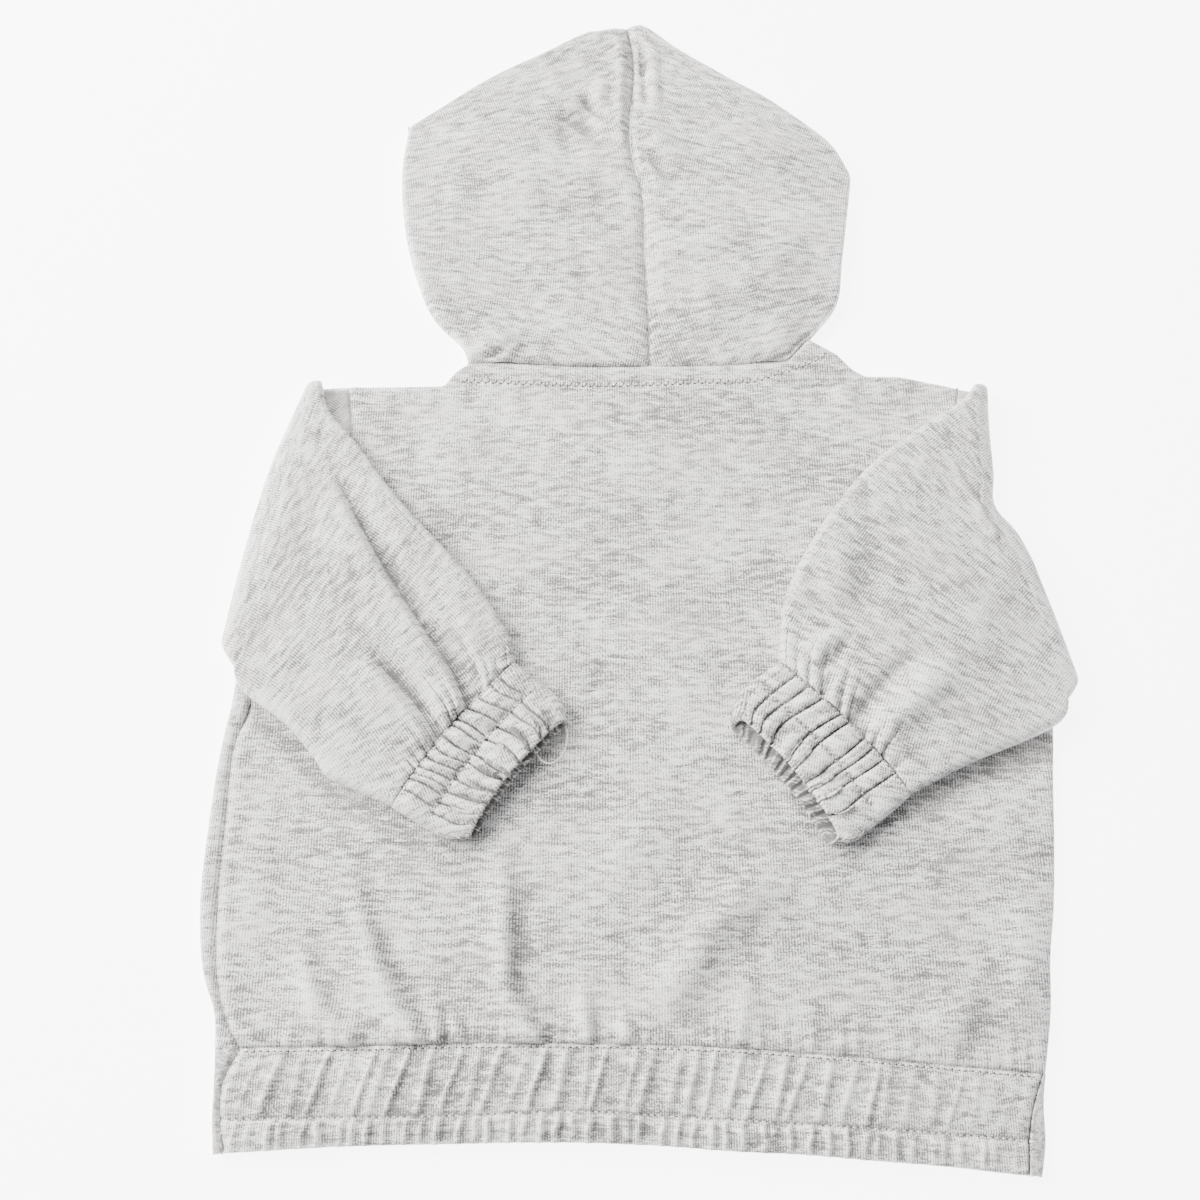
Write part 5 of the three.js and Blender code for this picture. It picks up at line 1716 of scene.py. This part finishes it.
class HOODIE_OT_band_front(bpy.types.Operator):
    """Makes the front of the waistband"""

    bl_idname = "hoodie.band_front"
    bl_label = "Front band"

    def execute(self, context):
        make_band_front(context)
        return {"FINISHED"}


class HOODIE_OT_band_back(bpy.types.Operator):
    """Makes the gathered back of the waistband"""

    bl_idname = "hoodie.band_back"
    bl_label = "Back band"

    def execute(self, context):
        make_band_back(context)
        return {"FINISHED"}


class HOODIE_OT_sleeves(bpy.types.Operator):
    """Makes both sleeves, folded over the back"""

    bl_idname = "hoodie.sleeves"
    bl_label = "Sleeves"

    def execute(self, context):
        for side in (LEFT, RIGHT):
            make_sleeve(context, side)
        return {"FINISHED"}


class HOODIE_OT_cuffs(bpy.types.Operator):
    """Makes both gathered cuffs"""

    bl_idname = "hoodie.cuffs"
    bl_label = "Cuffs"

    def execute(self, context):
        for side in (LEFT, RIGHT):
            make_cuff(context, side)
        return {"FINISHED"}


class HOODIE_OT_hood(bpy.types.Operator):
    """Makes the hood's two panels"""

    bl_idname = "hoodie.hood"
    bl_label = "Hood"

    def execute(self, context):
        for side in (LEFT, RIGHT):
            make_hood(context, side)
        return {"FINISHED"}


class HOODIE_OT_waist_stitches(bpy.types.Operator):
    """Sews the two rows of the waistband"""

    bl_idname = "hoodie.waist_stitches"
    bl_label = "Waist stitches"

    def execute(self, context):
        make_waist_stitches(context)
        return {"FINISHED"}


class HOODIE_OT_cuff_stitches(bpy.types.Operator):
    """Sews the two rows of each cuff"""

    bl_idname = "hoodie.cuff_stitches"
    bl_label = "Cuff stitches"

    def execute(self, context):
        for side in (LEFT, RIGHT):
            make_cuff_stitches(context, side)
        return {"FINISHED"}


class HOODIE_OT_neck_stitches(bpy.types.Operator):
    """Sews the zigzag row below the neck seam"""

    bl_idname = "hoodie.neck_stitches"
    bl_label = "Neck stitches"

    def execute(self, context):
        make_neck_stitches(context)
        return {"FINISHED"}


class HOODIE_OT_loose_thread(bpy.types.Operator):
    """Adds the fibre on the back and the thread end at the left cuff"""

    bl_idname = "hoodie.loose_thread"
    bl_label = "Loose thread"

    def execute(self, context):
        make_loose_ends(context)
        return {"FINISHED"}


OPERATORS = (
    HOODIE_OT_stage, HOODIE_OT_front, HOODIE_OT_back, HOODIE_OT_band_front,
    HOODIE_OT_band_back, HOODIE_OT_sleeves, HOODIE_OT_cuffs, HOODIE_OT_hood,
    HOODIE_OT_waist_stitches, HOODIE_OT_cuff_stitches, HOODIE_OT_neck_stitches, HOODIE_OT_loose_thread,
)


class HOODIE_PT_panel(bpy.types.Panel):
    """Lists the hoodie's operators"""

    bl_idname = "HOODIE_PT_panel"
    bl_label = "Hoodie"
    bl_space_type = "VIEW_3D"
    bl_region_type = "UI"
    bl_category = "Hoodie"

    def draw(self, context):
        for made in OPERATORS:
            self.layout.operator(made.bl_idname)


CLASSES = (HoodieCloth, HoodieColours, HoodieStudio, *OPERATORS, HOODIE_PT_panel)


def register():
    """Adds the add-on's classes and settings"""
    for made in CLASSES:
        bpy.utils.register_class(made)
    bpy.types.Scene.hoodie_cloth = PointerProperty(type=HoodieCloth)
    bpy.types.Scene.hoodie_colours = PointerProperty(type=HoodieColours)
    bpy.types.Scene.hoodie_studio = PointerProperty(type=HoodieStudio)


def unregister():
    """Takes them out again"""
    del bpy.types.Scene.hoodie_studio
    del bpy.types.Scene.hoodie_colours
    del bpy.types.Scene.hoodie_cloth
    for made in reversed(CLASSES):
        bpy.utils.unregister_class(made)


def main():
    """Makes every piece"""
    register()
    for made in OPERATORS:
        group, name = made.bl_idname.split(".")
        getattr(getattr(bpy.ops, group), name)()


if __name__ == "__main__":
    main()
